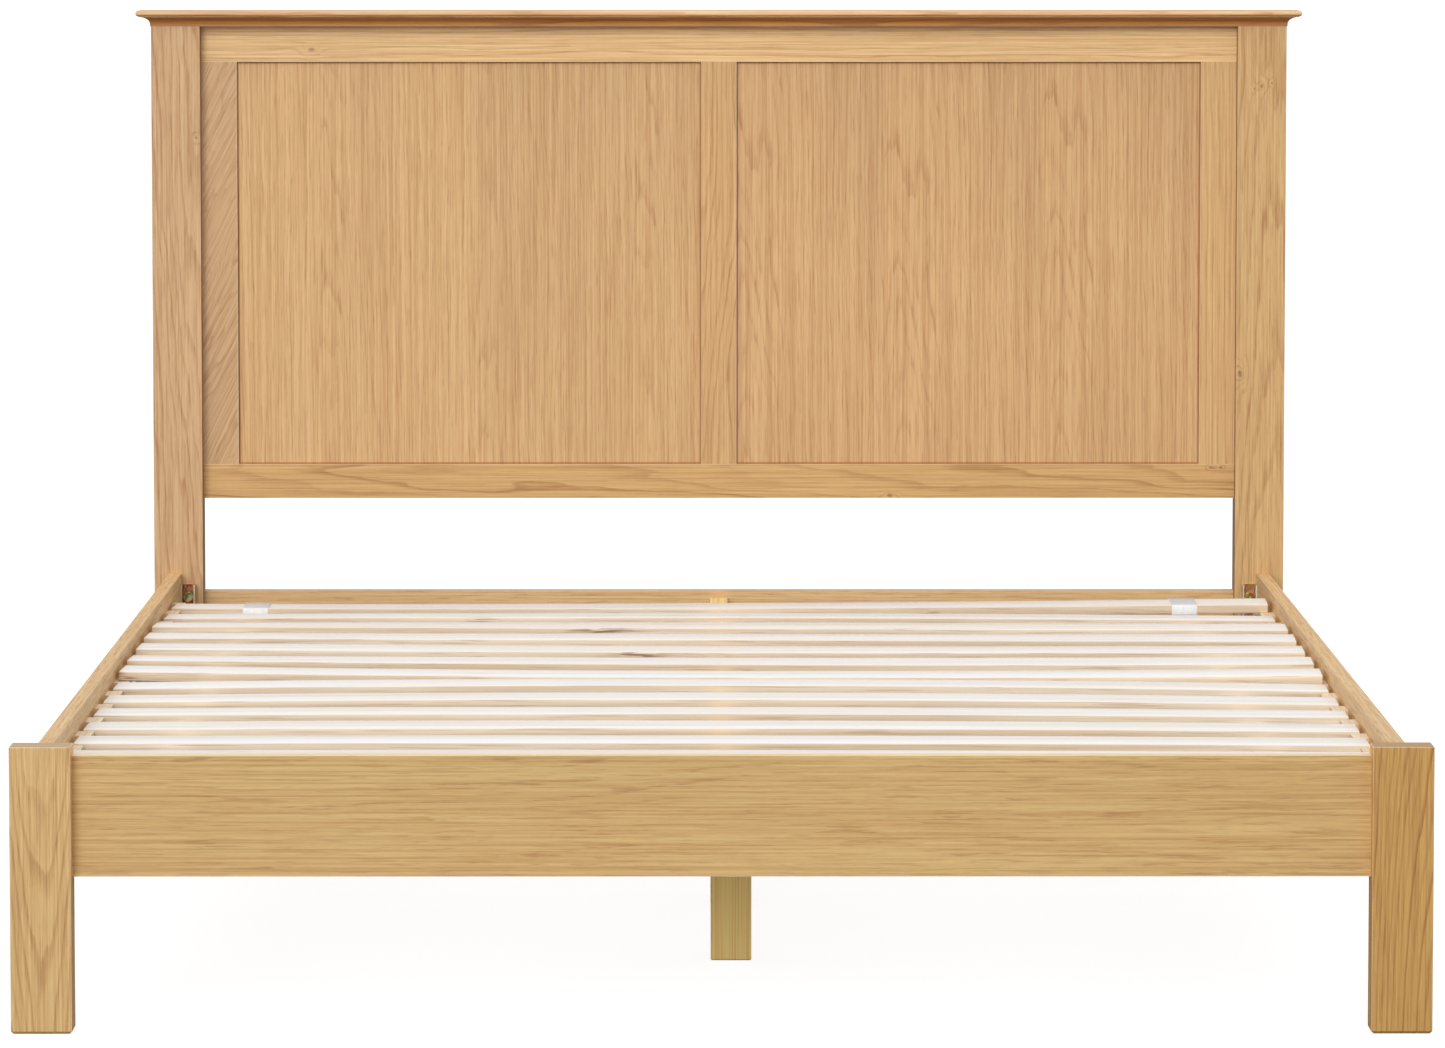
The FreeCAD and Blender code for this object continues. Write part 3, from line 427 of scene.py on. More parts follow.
# %% [markdown]
# ## Cutting a material for one board
# Each board of a real bed is its own piece of wood, so each gets its own material: the same
# groups with its own grain direction, pith, lean and knots. A Mapping node set to the texture
# way moves the pattern's origin to the board's middle and turns it until the pattern's Z runs
# along the grain.

# %% Board materials
QUARTER = math.pi / 2
GRAIN_TURN = {"x": (0.0, QUARTER, 0.0), "y": (-QUARTER, 0.0, 0.0), "z": (0.0, 0.0, 0.0)}
RELIEF, RELIEF_DEPTH = 0.12, 0.6 * MM


def half_size(low, high, grain):
    """Half the board's size in the grain's own frame: width, thickness, length."""
    half = (Vector(high) - Vector(low)) / 2
    return {"x": (half.z, half.y, half.x), "y": (half.x, half.z, half.y),
            "z": (half.x, half.y, half.z)}[grain]


def board_material(name, low, high, grain, look, pith=(0.0, 0.05), lean=0.05, ring=0.004,
                   wander=0.02, seed=0.0, knots=(), turn=0.0, leaves=None, facings=()):
    """A timber finish for one board. pith is across and through, in metres from the middle.

    Each knot is across, along and radius. Each of the facings is a direction, a tone that
    faces turned that way are multiplied by, and how much of it.
    """
    finish = new_finish(name)
    place = finish.where()
    turns = Vector(GRAIN_TURN[grain])
    middle = (Vector(low) + Vector(high)) / 2
    spot = finish.mapped(place["Object"], Location=middle, Rotation=turns)
    facing = finish.mapped(place["Normal"], Rotation=turns)
    figure_spot, leaf_tone = spot, 0.0
    if turn:
        figure_spot = finish.mapped(spot, Rotation=(0.0, turn, 0.0))
    if leaves:
        figure_spot, leaf_tone = leaves(finish, spot)
    swell, heart = 0.0, 0.0
    for across, along, radius in knots:
        found = finish.group(KNOT, {"Position": spot, "Place": (across, 0.0, along),
                                    "Radius": radius})
        heart = finish.do("MAXIMUM", heart, found["Heart"])
        swell = finish.plus(swell, found["Swell"])
    figure = finish.group(GROWTH, {
        "Position": figure_spot, "Pith": (*pith, 0.0), "Lean": lean, "Ring": ring,
        "Wander": wander, "Swell": swell, "Seed": seed})
    edge = finish.group(ARRIS, {"Position": spot, "Half size": half_size(low, high, grain),
                                "Width": ARRIS_WIDTH})
    end = finish.ease(finish.do("ABSOLUTE", finish.parts(facing)[2]), 0.75, 0.97)
    cloud = finish.plus(figure["Cloud"], leaf_tone)
    made = finish.group(TIMBER, {
        "Growth": figure["Growth"], "Fibre": figure["Fibre"], "Pores": figure["Pores"],
        "Cloud": cloud, "Heart": heart, "Edge": edge["Edge"], "End": end, **look})
    color = made["Color"]
    # Facings are painted light and shade: faces turned one way are made lighter or darker.
    for way, toned, amount in facings:
        toward = finish.place("VectorMath", {0: place["Normal"], 1: way}, operation="DOT_PRODUCT")
        share = finish.ease(toward.outputs["Value"], 0.25, 0.8, 0.0, amount)
        color = finish.tint(share, color, toned, "MULTIPLY")
    return finish.coat(color, made["Roughness"], made["Height"], RELIEF, RELIEF_DEPTH)


print("grain can run along", ", ".join(sorted(GRAIN_TURN)))

# %% [markdown]
# ## Oak, board by board
# Boards of one bed differ in overall tone and in little else. So a board's look is worked out
# from one swatch, and its bands, pores, knots and ends are fixed shares of it.

# %% Oak colours and the usual board
def oak(red, green, blue, **changes):
    """The colours of a lacquered oak board, worked out from its overall swatch."""
    body = tone(red, green, blue)

    def toned(reds, greens, blues):
        return (body[0] * reds, body[1] * greens, body[2] * blues, 1.0)
    look = {"Pale": toned(1.09, 1.1, 1.12), "Band": toned(0.72, 0.57, 0.42),
            "Pore": toned(0.6, 0.4, 0.28), "Knot": toned(0.3, 0.17, 0.1),
            "End tone": toned(0.84, 0.93, 1.4), "Band depth": 0.7, "Pore depth": 0.45,
            "Cloud depth": 0.22, "Sheen": 0.42}
    look.update(changes)
    return look


def finish_node(name, material):
    """Gives a frame piece its finish and leaves its shape alone."""
    for place in nodes[name].material_slots:
        place.material = material


def board_for(name, grain, look, **choices):
    """The usual case: a board's own box sets where its grain is centred."""
    low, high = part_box(name)
    finish_node(name, board_material(name + "_timber", low, high, grain, look, **choices))
    print("finished", name, "with grain along", grain)


print("an oak look has", len(oak(200, 160, 105)), "settings")

# %% [markdown]
# ## The four posts
# The foot posts show flat-sawn figure: arches on the left one and lines that lean to the left
# on the right one. The headboard posts are taller and pinker, and the right one has a row of
# pin knots near its top and a larger knot on its inner edge, which the grain swings round.

# %% Posts
POST_DEPTHS = {"Band depth": 0.85, "Pore depth": 0.7}
HEAD_DEPTHS = {"Band depth": 0.65, "Pore depth": 0.7}
RIGHTWARD, LEFTWARD = (1.0, 0.0, 0.0), (-1.0, 0.0, 0.0)
UP, DOWN = (0.0, 0.0, 1.0), (0.0, 0.0, -1.0)
# Painted highlight: the inner sides of the foot posts are made lighter.
PAINTED_SIDE_LIGHT = (1.4, 1.35, 1.3, 1.0)
# Painted shade: the inner sides of the headboard posts, where they stand proud of the stiles, are
# darkened.
PAINTED_INNER_SHADE = (0.5, 0.33, 0.2, 1.0)
board_for("foot_post_left", "z", oak(202, 165, 108, **POST_DEPTHS), pith=(0.004, 0.04),
          ring=0.0038, wander=0.016, seed=1.0, facings=[(RIGHTWARD, PAINTED_SIDE_LIGHT, 1.0)])
board_for("foot_post_right", "z", oak(189, 145, 78, **POST_DEPTHS), pith=(0.06, 0.03), lean=-0.07,
          ring=0.005, seed=2.0, facings=[(LEFTWARD, PAINTED_SIDE_LIGHT, 1.0)])
board_for("headboard_post_left", "z", oak(200, 160, 114, **HEAD_DEPTHS), pith=(0.03, 0.07),
          lean=0.03, ring=0.0046, wander=0.03, seed=3.0, knots=[(0.028, 0.39, 0.0018)],
          facings=[(RIGHTWARD, PAINTED_INNER_SHADE, 0.9)])
board_for("headboard_post_right", "z", oak(200, 160, 105, **HEAD_DEPTHS), pith=(0.016, 0.06),
          lean=-0.03, ring=0.005, wander=0.025, seed=4.0,
          knots=[(-0.028, 0.06, 0.004), (0.0, 0.462, 0.0024), (-0.01, 0.458, 0.0014),
                 (0.014, 0.466, 0.0014)], facings=[(LEFTWARD, PAINTED_INNER_SHADE, 0.9)])

# %% [markdown]
# ## Headboard rails, stiles and muntin
# These narrow boards frame the panels. Their grain runs along each board, so the corners show
# grain meeting at right angles. The left stile was cut where the trunk swept, so its figure
# runs slantwise and is wavy.

# %% Headboard frame
board_for("headboard_top_rail", "x", oak(224, 183, 126, **{"Band depth": 0.5}),
          pith=(0.04, 0.03), lean=0.004, ring=0.006, wander=0.03, seed=5.0,
          knots=[(0.008, -0.568, 0.0036)])
board_for("headboard_bottom_rail", "x", oak(199, 156, 97), pith=(-0.02, 0.05), lean=0.03,
          ring=0.006, wander=0.035, seed=6.0,
          knots=[(0.02, 0.24, 0.003), (-0.019, 0.69, 0.0024), (-0.019, 0.704, 0.0024)])
board_for("headboard_stile_left", "z",
          oak(193, 154, 109, **{"Band depth": 0.4, "Pore depth": 0.3}),
          pith=(-0.09, 0.03), lean=0.1, ring=0.009, wander=0.2, seed=7.0, turn=0.45)
board_for("headboard_stile_right", "z", oak(203, 162, 107, **{"Band depth": 0.5}),
          pith=(0.05, 0.06), lean=0.02, ring=0.005, seed=8.0)
board_for("headboard_muntin", "z", oak(200, 157, 103, **{"Band depth": 0.6}),
          pith=(-0.03, 0.03), lean=0.05, ring=0.0052, wander=0.04, seed=9.0)

# %% [markdown]
# ## Veneered panels
# Each panel is faced with leaves of veneer laid side by side. They come off one log, so they
# look alike but not the same, and each joint shows as a faint change of tone. The helper
# folds the position into one leaf and gives each leaf its own shift.

# %% Panels
LEAF_WIDTH = 0.22
LEAF_SLIDE, LEAF_TONE = 0.5, 0.3
VENEER_DEPTHS = {"Band depth": 0.3, "Pore depth": 0.55, "Cloud depth": 0.25}


def veneer_leaves(start, shift):
    """Folds the position across the panel into leaves that start at a given place."""
    def fold(bench, spot):
        x, y, z = bench.parts(spot)
        count = bench.do("DIVIDE", bench.less(x, start), LEAF_WIDTH)
        inside = bench.swing(bench.do("FRACT", count), LEAF_WIDTH)
        draw = {"W": bench.plus(bench.do("FLOOR", count), shift)}
        chance = bench.place("TexWhiteNoise", draw, noise_dimensions="1D").outputs["Value"]
        along = bench.plus(z, bench.swing(chance, LEAF_SLIDE))
        return bench.join(inside, y, along), bench.swing(chance, LEAF_TONE)
    return fold


board_for("headboard_panel_left", "z", oak(203, 161, 109, **VENEER_DEPTHS), pith=(-0.1, 0.05),
          lean=-0.04, ring=0.0046, wander=0.035, seed=10.0, leaves=veneer_leaves(-0.208, 3.0))
board_for("headboard_panel_right", "z", oak(200, 157, 106, **VENEER_DEPTHS), pith=(-0.08, 0.05),
          lean=-0.06, ring=0.005, wander=0.03, seed=11.0, leaves=veneer_leaves(-0.118, 8.0))

# %% [markdown]
# ## Painted shade round the panels
# Each panel gets a fine dark line round its opening, a painted shadow where the panel sits
# back in its frame's groove. It follows the frame's outline and not the panel's hidden edges.

# %% Panel rims
PAINTED_GROOVE_SHADE = (0.55, 0.38, 0.22, 1.0)
RIM_DARK, RIM_CLEAR = 0.8 * MM, 3.2 * MM


def shade_the_opening(panel, opening):
    """Darkens a thin rim of the panel along the edge of its opening."""
    finish = Finish(nodes[panel].material_slots[0].material)
    (left, bottom), (right, top) = opening
    middle = ((left + right) / 2, 0.0, (bottom + top) / 2)
    half = ((right - left) / 2, 0.0, (top - bottom) / 2)
    away = finish.vector("ABSOLUTE", finish.vector("SUBTRACT", finish.where()["Object"], middle))
    x, _, z = finish.parts(finish.vector("SUBTRACT", half, away))
    # Painted shadow of the groove, darkest right at the opening's edge.
    rim = finish.ease(finish.do("MINIMUM", x, z), RIM_DARK, RIM_CLEAR, 0.9, 0.0)
    finish.lay_over(rim, PAINTED_GROOVE_SHADE)


bottom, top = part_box("headboard_bottom_rail")[1].z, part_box("headboard_top_rail")[0].z
muntin_low, muntin_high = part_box("headboard_muntin")
left_stile, right_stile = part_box("headboard_stile_left"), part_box("headboard_stile_right")
shade_the_opening("headboard_panel_left", ((left_stile[1].x, bottom), (muntin_low.x, top)))
shade_the_opening("headboard_panel_right", ((muntin_high.x, bottom), (right_stile[0].x, top)))
print("openings are %.0f mm high" % ((top - bottom) / MM))

# %% [markdown]
# ## Long rails
# The foot rail, the side rails and the low rail behind the slats are veneered with the grain
# along them. The figure is quiet: short brown dashes and long, low arches. The foot rail's
# top face is painted pale, a painted reflection of the bright room at a grazing angle.

# %% Rails
LONG_DEPTHS = {"Band depth": 0.18, "Pore depth": 0.65, "Cloud depth": 0.12}
LONG_FIGURE = {"ring": 0.007, "wander": 0.04}
# Painted reflection: the foot rail's top face is made pale, as if mirroring the bright room.
PAINTED_TOP_REFLECTION = [(UP, (1.7, 2.1, 3.2, 1.0), 0.8)]
# Painted shade: the side rails' tops are made a little darker against the bright sky overhead.
PAINTED_TOP_SHADE = [(UP, (0.97, 0.96, 0.95, 1.0), 1.0)]
SIDE_LOOK = oak(219, 182, 128, **LONG_DEPTHS)
board_for("foot_rail", "x", oak(199, 162, 103, **LONG_DEPTHS), pith=(0.03, 0.12), lean=0.012,
          seed=12.0, facings=PAINTED_TOP_REFLECTION, **LONG_FIGURE)
board_for("headboard_lower_rail", "x", oak(208, 170, 118, **LONG_DEPTHS), pith=(0.0, 0.09),
          lean=0.01, seed=13.0, **LONG_FIGURE)
for side, pith, seed in (("left", (-0.07, 0.0), 14.0), ("right", (0.07, 0.01), 15.0)):
    board_for("side_rail_" + side, "y", SIDE_LOOK, pith=pith, lean=0.01, seed=seed,
              facings=PAINTED_TOP_SHADE, **LONG_FIGURE)

# %% [markdown]
# ## Softwood under the slats
# The ledgers are bare planed softwood. The beam and legs are lacquered pine with strong bands.

# %% Ledgers, beam and legs
BARE_PINE = {"Pale": tone(240, 222, 192), "Band": tone(222, 190, 148), "Pore": tone(190, 150, 108),
             "Knot": tone(120, 70, 40), "End tone": tone(214, 186, 150), "Band depth": 0.5,
             "Pore depth": 0.15, "Cloud depth": 0.2, "Sheen": 0.62}
LEG_PINE = {"Pale": tone(255, 218, 134), "Band": tone(228, 166, 84), "Pore": tone(150, 104, 60),
            "Knot": tone(96, 56, 30), "End tone": tone(176, 142, 98), "Band depth": 0.8,
            "Pore depth": 0.15, "Cloud depth": 0.25, "Sheen": 0.42}
for side, seed in (("left", 16.0), ("right", 17.0)):
    board_for("slat_ledger_" + side, "y", BARE_PINE, pith=(0.0, 0.06), lean=0.01, seed=seed)
board_for("centre_beam", "y", LEG_PINE, pith=(0.05, 0.0), lean=0.01, ring=0.005, seed=18.0)
for place, seed in (("foot", 19.0), ("middle", 20.0), ("head", 21.0)):
    board_for("centre_leg_" + place, "z", LEG_PINE, pith=(0.004, 0.12), lean=0.004, ring=0.0055,
              wander=0.008, seed=seed)

# %% [markdown]
# ## The cap along the top of the headboard
# The cap is one moulded board: a small square foot, a cove that sweeps outwards and a round
# nose. It runs round the two ends and the front with mitred corners, and its back is flat.
# The same plan outline is raised and let out step by step along the moulding's profile, which
# keeps the mitres true without cutting them.

# %% Cap
cap_low, cap_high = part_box("headboard_cap")
CAP_FOOT_STEP = 1.0 * MM
CAP_OUT = cap_high.x - (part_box("headboard_post_right")[1].x + CAP_FOOT_STEP)
CAP_THICK = cap_high.z - cap_low.z
NOSE = 4.0 * MM
BEAD = 3.0 * MM
QUIRK = 1.0 * MM
CURVE_STEPS = 12


def cap_steps():
    """Places on the moulding: how far out from the foot, and how far up."""
    steps = [(0.0, 0.0), (0.0, BEAD)]
    cove_out, cove_up = CAP_OUT - NOSE, CAP_THICK - 2 * NOSE - QUIRK
    for i in range(1, CURVE_STEPS + 1):
        angle = i / CURVE_STEPS * QUARTER
        steps.append((cove_out * (1 - math.cos(angle)), BEAD + (cove_up - BEAD) * math.sin(angle)))
    steps.append((cove_out, cove_up + QUIRK))
    for i in range(1, CURVE_STEPS + 1):
        angle = i / CURVE_STEPS * math.pi
        steps.append((cove_out + NOSE * math.sin(angle), CAP_THICK - NOSE - NOSE * math.cos(angle)))
    return steps


def moulded_cap():
    clear_bench()
    foot_x, foot_front = cap_high.x - CAP_OUT, cap_low.y + CAP_OUT
    back = cap_high.y
    bpy.ops.mesh.primitive_plane_add(size=1.0, location=(0.0, (foot_front + back) / 2, cap_low.z))
    cap = bpy.context.object
    cap.name = cap.data.name = "oak_cap"
    cap.scale = (2 * foot_x, back - foot_front, 1.0)
    bpy.ops.object.transform_apply(location=True, rotation=True, scale=True)
    switch_to("EDIT")
    bpy.ops.mesh.select_all(action="SELECT")
    bpy.ops.mesh.flip_normals()
    steps = cap_steps()
    for (out, up), (last_out, last_up) in zip(steps[1:], steps):
        bpy.ops.mesh.extrude_region_move(TRANSFORM_OT_translate={"value": (0.0, 0.0, up - last_up)})
        grow = out - last_out
        switch_to("OBJECT")
        for vertex in cap.data.vertices:
            if vertex.select:
                vertex.co.x += grow * math.copysign(1.0, vertex.co.x)
                vertex.co.y -= grow if vertex.co.y < back - 1e-6 else 0.0
        switch_to("EDIT")
    bpy.ops.mesh.select_all(action="SELECT")
    bpy.ops.mesh.normals_make_consistent(inside=False)
    switch_to("OBJECT")
    bpy.ops.object.shade_smooth_by_angle(angle=math.radians(32))
    return cap


cap = moulded_cap()
report(cap)

# %% [markdown]
# ## The cap's finish
# The hollow and the underside carry painted shade: a darker tone that fades out going up,
# and the round nose stays clean.

# %% Cap finish
# Painted shade: faces turned down and the low part of the cove are darkened.
PAINTED_UNDERSIDE_SHADE = (0.6, 0.4, 0.22, 1.0)
PAINTED_COVE_SHADE = (0.66, 0.42, 0.17, 1.0)
COVE_DARK, COVE_CLEAR = (cap_low.z + share * CAP_THICK for share in (0.25, 0.6))
cap.data.materials.append(board_material(
    "cap_timber", cap_low, cap_high, "x", oak(216, 175, 125), pith=(0.0, 0.11), lean=0.01,
    ring=0.005, wander=0.03, seed=22.0, facings=[(DOWN, PAINTED_UNDERSIDE_SHADE, 0.9)]))
cap_finish = Finish(cap.data.materials[0])
cap_height = cap_finish.parts(cap_finish.where()["Object"])[2]
cap_finish.lay_over(cap_finish.ease(cap_height, COVE_DARK, COVE_CLEAR, 1.0, 0.0), PAINTED_COVE_SHADE)
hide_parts("headboard_cap")
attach(cap, "frame")
print("cove fades from", round(COVE_DARK, 4), "to", round(COVE_CLEAR, 4))

# %% [markdown]
# ## Slats
# The thirteen slats are planed poplar, almost white on their wide faces and tan along their
# narrow edges, the tan partly the sawn wood and partly painted shade, with a few dark streaks.
# They are loose on their straps: some have dropped into the notches of the ledgers and some
# ride on top, and each has its own bow and twist.
# One slat is planed and its corners are eased, as the pattern for all of them.

# %% One planed slat
SLAT_LENGTH, SLAT_WIDTH, SLAT_THICK = 1.495, 0.075, 0.012
STATIONS = 26
LONG_EASING, END_EASING = 1.6 * MM, 0.5 * MM


def planed_slat():
    half = Vector((SLAT_LENGTH, SLAT_WIDTH, SLAT_THICK)) / 2
    slat = start_block("planed_slat", -half, half)
    pick_edges(slat, lambda a, b: abs(a.x - b.x) > SLAT_LENGTH / 2)
    bpy.ops.mesh.bevel(offset=LONG_EASING, segments=3, affect="EDGES")
    pick_edges(slat, lambda a, b: abs(abs(a.x) - half.x) < 1e-5 and abs(a.x - b.x) < 1e-5)
    bpy.ops.mesh.bevel(offset=END_EASING, segments=1, affect="EDGES")
    pick_edges(slat, lambda a, b: abs(a.x - b.x) > SLAT_LENGTH / 2)
    bpy.ops.mesh.subdivide(number_cuts=STATIONS - 1)
    switch_to("OBJECT")
    bpy.ops.object.shade_smooth_by_angle(angle=math.radians(40))
    return slat


blank_slat = planed_slat()
report(blank_slat)

# %% [markdown]
# ## Poplar
# One finish serves every slat. It reads the surface's direction, so that the wide faces are
# pale and the sawn edges tan, partly the wood's own colour and partly painted shade, and
# scatters dark streaks and pin knots along the edges. It works from the position in the bed,
# so every slat comes out different.

# %% Poplar finish
# How tightly each pattern is packed along, across and through the slats, in waves a metre.
POPLAR_FIBRE = (10.0, 700.0, 700.0)
POPLAR_FIGURE = (1.4, 46.0, 90.0)
POPLAR_TONES = (0.5, 9.0, 0.0)
SAW_LINES = (2.2, 420.0, 420.0)
STAIN_PATCHES = (5.0, 17.0, 17.0)
STAIN_STREAKS = (22.0, 600.0, 600.0)
PIN_CELLS = (3.3, 9.0, 9.0)
AGED = (0.95, 0.9, 0.84, 1.0)


def poplar_material():
    finish = new_finish("planed_poplar")
    place = finish.where()
    spot, facing = place["Object"], finish.parts(place["Normal"])
    wide = finish.ease(finish.do("ABSOLUTE", facing[2]), 0.6, 0.95)
    end = finish.ease(finish.do("ABSOLUTE", facing[0]), 0.7, 0.95)
    fibre = finish.noise(spot, POPLAR_FIBRE, 3.0, 0.6)
    figure = finish.noise(spot, POPLAR_FIGURE, 3.0)
    aged = finish.ease(finish.noise(spot, POPLAR_TONES, 1.0), 0.35, 0.7, 0.0, 0.5)
    face = finish.tint(finish.ease(figure, 0.42, 0.66), tone(243, 243, 243), tone(238, 233, 226))
    edge = finish.tint(finish.ease(figure, 0.35, 0.65), tone(236, 219, 195), tone(218, 195, 166))
    line = finish.ease(finish.noise(spot, SAW_LINES, 1.0), 0.58, 0.7, 0.0, 0.45)
    edge = finish.tint(line, edge, tone(182, 146, 112))
    # The upright edges are tan partly from the wood and partly as painted shade.
    color = finish.tint(wide, edge, face)
    color = finish.tint(aged, color, finish.tint(1.0, color, AGED, "MULTIPLY"))
    level = finish.plus(finish.swing(fibre, 0.24), 1.0)
    color = finish.tint(1.0, color, finish.join(level, level, level), "MULTIPLY")
    patches = finish.ease(finish.noise(spot, STAIN_PATCHES, 1.0), 0.66, 0.72)
    streaks = finish.ease(finish.noise(spot, STAIN_STREAKS), 0.5, 0.58)
    stain = finish.times(finish.times(patches, streaks),
                      finish.scaled(wide, 0.85, 0.22))
    color = finish.tint(stain, color, tone(128, 84, 58))
    tight = finish.vector("MULTIPLY", spot, PIN_CELLS)
    cells = finish.place("TexVoronoi", {"Vector": tight, "Scale": 1.0, "Randomness": 1.0}).outputs
    offset = finish.vector("SUBTRACT", tight, cells["Position"])
    near = finish.length(finish.vector("MULTIPLY", offset, (1.0, 3.0, 3.0)))
    lucky = finish.do("GREATER_THAN", finish.parts(cells["Color"])[0], 0.55)
    pin = finish.times(finish.ease(near, 0.012, 0.04, 1.0, 0.0), lucky)
    color = finish.tint(pin, color, tone(48, 34, 26))
    color = finish.tint(finish.times(end, 0.6), color, tone(214, 188, 152))
    return finish.coat(color, finish.scaled(fibre, 0.5, 0.68), fibre, 0.15, 0.5 * MM)


POPLAR = poplar_material()
print("finish:", POPLAR.name)

# %% [markdown]
# ## Laying the slats
# Twist is what makes a row of cheap slats look real: each wide face catches the light a bit
# differently from its neighbour. The numbers are degrees at the left end, the middle and the
# right end. Each copy is laid by feeling for its frame piece's top all along it.

# %% Lay thirteen slats
TWISTS = [(-0.9, 0.0, 0.8), (-1.0, -0.9, -0.8), (-1.4, 0.5, 0.7), (-0.1, 0.2, 1.4),
          (0.1, 0.5, 0.6), (-1.0, 0.8, 1.1), (-0.1, 0.4, 0.4), (0.2, 0.2, 0.4),
          (0.2, 0.4, 0.7), (0.2, 0.1, 0.0), (0.2, 0.7, 0.4), (0.2, 0.3, 0.2), (0.0, 0.2, 0.0)]
END_ZONE = 2.0 * MM
FEEL_INSIDE = 1.5 * MM


def end_middle(node, side):
    """Where the middle of a frame slat's end lies, as seen from above."""
    spots = [v.co for v in nodes[node].data.vertices if v.co.x * side > SLAT_LENGTH / 2 - END_ZONE]
    return sum((Vector((s.x, s.y, 0.0)) for s in spots), Vector()) / len(spots)


def twist_at(twist, way):
    """Twist in radians at a place from -1 at the left end to 1 at the right end."""
    left, middle, right = twist
    degrees = middle + (right - left) / 2 * way + ((right + left) / 2 - middle) * way * way
    return math.radians(degrees)


def slat_spine(name, twist):
    """The slat's run as seen from above, and a function giving its middle and its twist."""
    left, right = end_middle(name, -1), end_middle(name, 1)
    run = (right - left).normalized()
    centre = (left + right) / 2
    mesh = nodes[name].data
    felt = BVHTree.FromPolygons([v.co for v in mesh.vertices], [p.vertices for p in mesh.polygons])

    def spine(along):
        reach = math.copysign(min(abs(along), SLAT_LENGTH / 2 - FEEL_INSIDE), along)
        probe = centre + run * reach
        place = felt.ray_cast(Vector((probe.x, probe.y, 1.0)), Vector(DOWN))[0]
        middle = centre + run * along + Vector((0.0, 0.0, place.z - SLAT_THICK / 2))
        return middle, twist_at(twist, 2 * along / SLAT_LENGTH)
    return run, spine


def lay_slat(name, run, spine):
    slat = own_copy(blank_slat, "laid_" + name)
    over = Vector((-run.y, run.x, 0.0))
    for vertex in slat.data.vertices:
        x, y, z = vertex.co
        middle, turn = spine(x)
        across = y * math.cos(turn) - z * math.sin(turn)
        rise = y * math.sin(turn) + z * math.cos(turn)
        vertex.co = middle + over * across + Vector((0.0, 0.0, rise))
    slat.data.materials.append(POPLAR)
    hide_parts(name)
    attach(slat, "slat_roll")


spines = {}
for number, twist in enumerate(TWISTS, start=1):
    spines["slat_%02d" % number] = slat_spine("slat_%02d" % number, twist)
for name, (run, spine) in spines.items():
    lay_slat(name, run, spine)
bpy.data.objects.remove(blank_slat)
print("laid", len(spines), "slats")

# %% [markdown]
# ## Webbing
# The straps that hold the slats apart are flat woven tape. Two crossed sine waves make the
# weave and a slow noise makes the fluff. The faces that look up are made greyer.

# %% Woven strap finish
WARP, WEFT = 2400.0, 2600.0
FLUFF = (240.0, 90.0, 1.0)


def webbing_material():
    finish = new_finish("woven_webbing")
    place = finish.where()
    x, y, z = finish.parts(place["Object"])
    run = finish.plus(y, z)
    upward = finish.ease(finish.parts(place["Normal"])[2], 0.4, 0.85)
    weft = finish.times(run, WEFT)
    slant = finish.do("SINE", finish.plus(finish.times(x, WARP),
                                        finish.times(weft, 0.5)))
    crossed = finish.plus(slant, finish.do("SINE", weft))
    weave = finish.scaled(finish.times(crossed, 0.5), 0.5, 1.0)
    fluff = finish.noise(finish.join(x, run, 0.0), FLUFF, 3.0)
    color = finish.tint(weave, tone(222, 222, 224), tone(250, 250, 250))
    color = finish.tint(upward, color, finish.tint(weave, tone(184, 184, 186), tone(208, 208, 208)))
    color = finish.tint(finish.ease(fluff, 0.4, 0.75, 0.0, 0.35), color, tone(212, 211, 210))
    finish.feed(finish.shader["Sheen Weight"], 0.25)
    return finish.coat(color, finish.scaled(fluff, 0.65, 0.9), weave, 0.5, RELIEF_DEPTH)


WEBBING = webbing_material()
print("finish:", WEBBING.name)

# %% [markdown]
# ## The run of a strap
# Each strap runs under the slats and wraps once round the slat at the headboard. The slats
# twist and lie askew, so the run is worked out twice, once for each margin of the strap, by
# asking every slat where its underside is at that margin.

# %% Strap route
STRAP_THICK = 1.2 * MM
STRAP_GAP = 0.1 * MM
TAIL = 22 * MM
CORNER = 0.8 * MM
EDGE_SAG, TAIL_SAG = 0.4 * MM, 0.5 * MM


def beside_slat(name, x):
    """A function placing points round a slat's section, given how far over and how far up."""
    run, spine = spines[name]
    start, _ = spine(0.0)
    middle, turn = spine((x - start.x) / run.x)

    def spot(over, up):
        return Vector((x, middle.y + over * math.cos(turn) - up * math.sin(turn),
                       middle.z + over * math.sin(turn) + up * math.cos(turn)))
    return spot


def strap_route(x):
    """Places along one margin of a strap, from the foot to its tail round the first slat."""
    half, up = SLAT_WIDTH / 2, SLAT_THICK / 2 + STRAP_THICK / 2 + STRAP_GAP
    route = []
    names = sorted(spines, reverse=True)
    for name in names[:-1]:
        spot = beside_slat(name, x)
        route += [spot(-half, -up - EDGE_SAG), spot(-half / 2, -up), spot(half / 2, -up),
                  spot(half, -up - EDGE_SAG), spot(half + TAIL, -up - TAIL_SAG)]
    route.pop()
    spot = beside_slat(names[-1], x)
    side = half + STRAP_THICK / 2 + STRAP_GAP
    loop = [(-side, -up - STRAP_THICK), (side - CORNER, -up - STRAP_THICK),
            (side, -up - STRAP_THICK + CORNER), (side, up - CORNER), (side - CORNER, up),
            (0.0, up), (CORNER - side, up), (-side, up - CORNER), (-side, CORNER - up),
            (CORNER - side, -up), (0.0, -up)]
    return route + [spot(over, height) for over, height in loop]


print("places along a strap:", len(strap_route(0.6)))

# %% [markdown]
# ## Webbing straps
# A strap is a thin ribbon, so it is pulled out edge by edge along its run, like unrolling
# tape, and then given its thickness and its soft selvedges.

# %% Straps under the slats
STRAP_WORK = [("SOLIDIFY", {"thickness": STRAP_THICK, "offset": 0.0, "use_even_offset": True}),
              ("BEVEL", {"width": 0.35 * MM, "segments": 2, "limit_method": "ANGLE",
                         "angle_limit": math.radians(60)})]


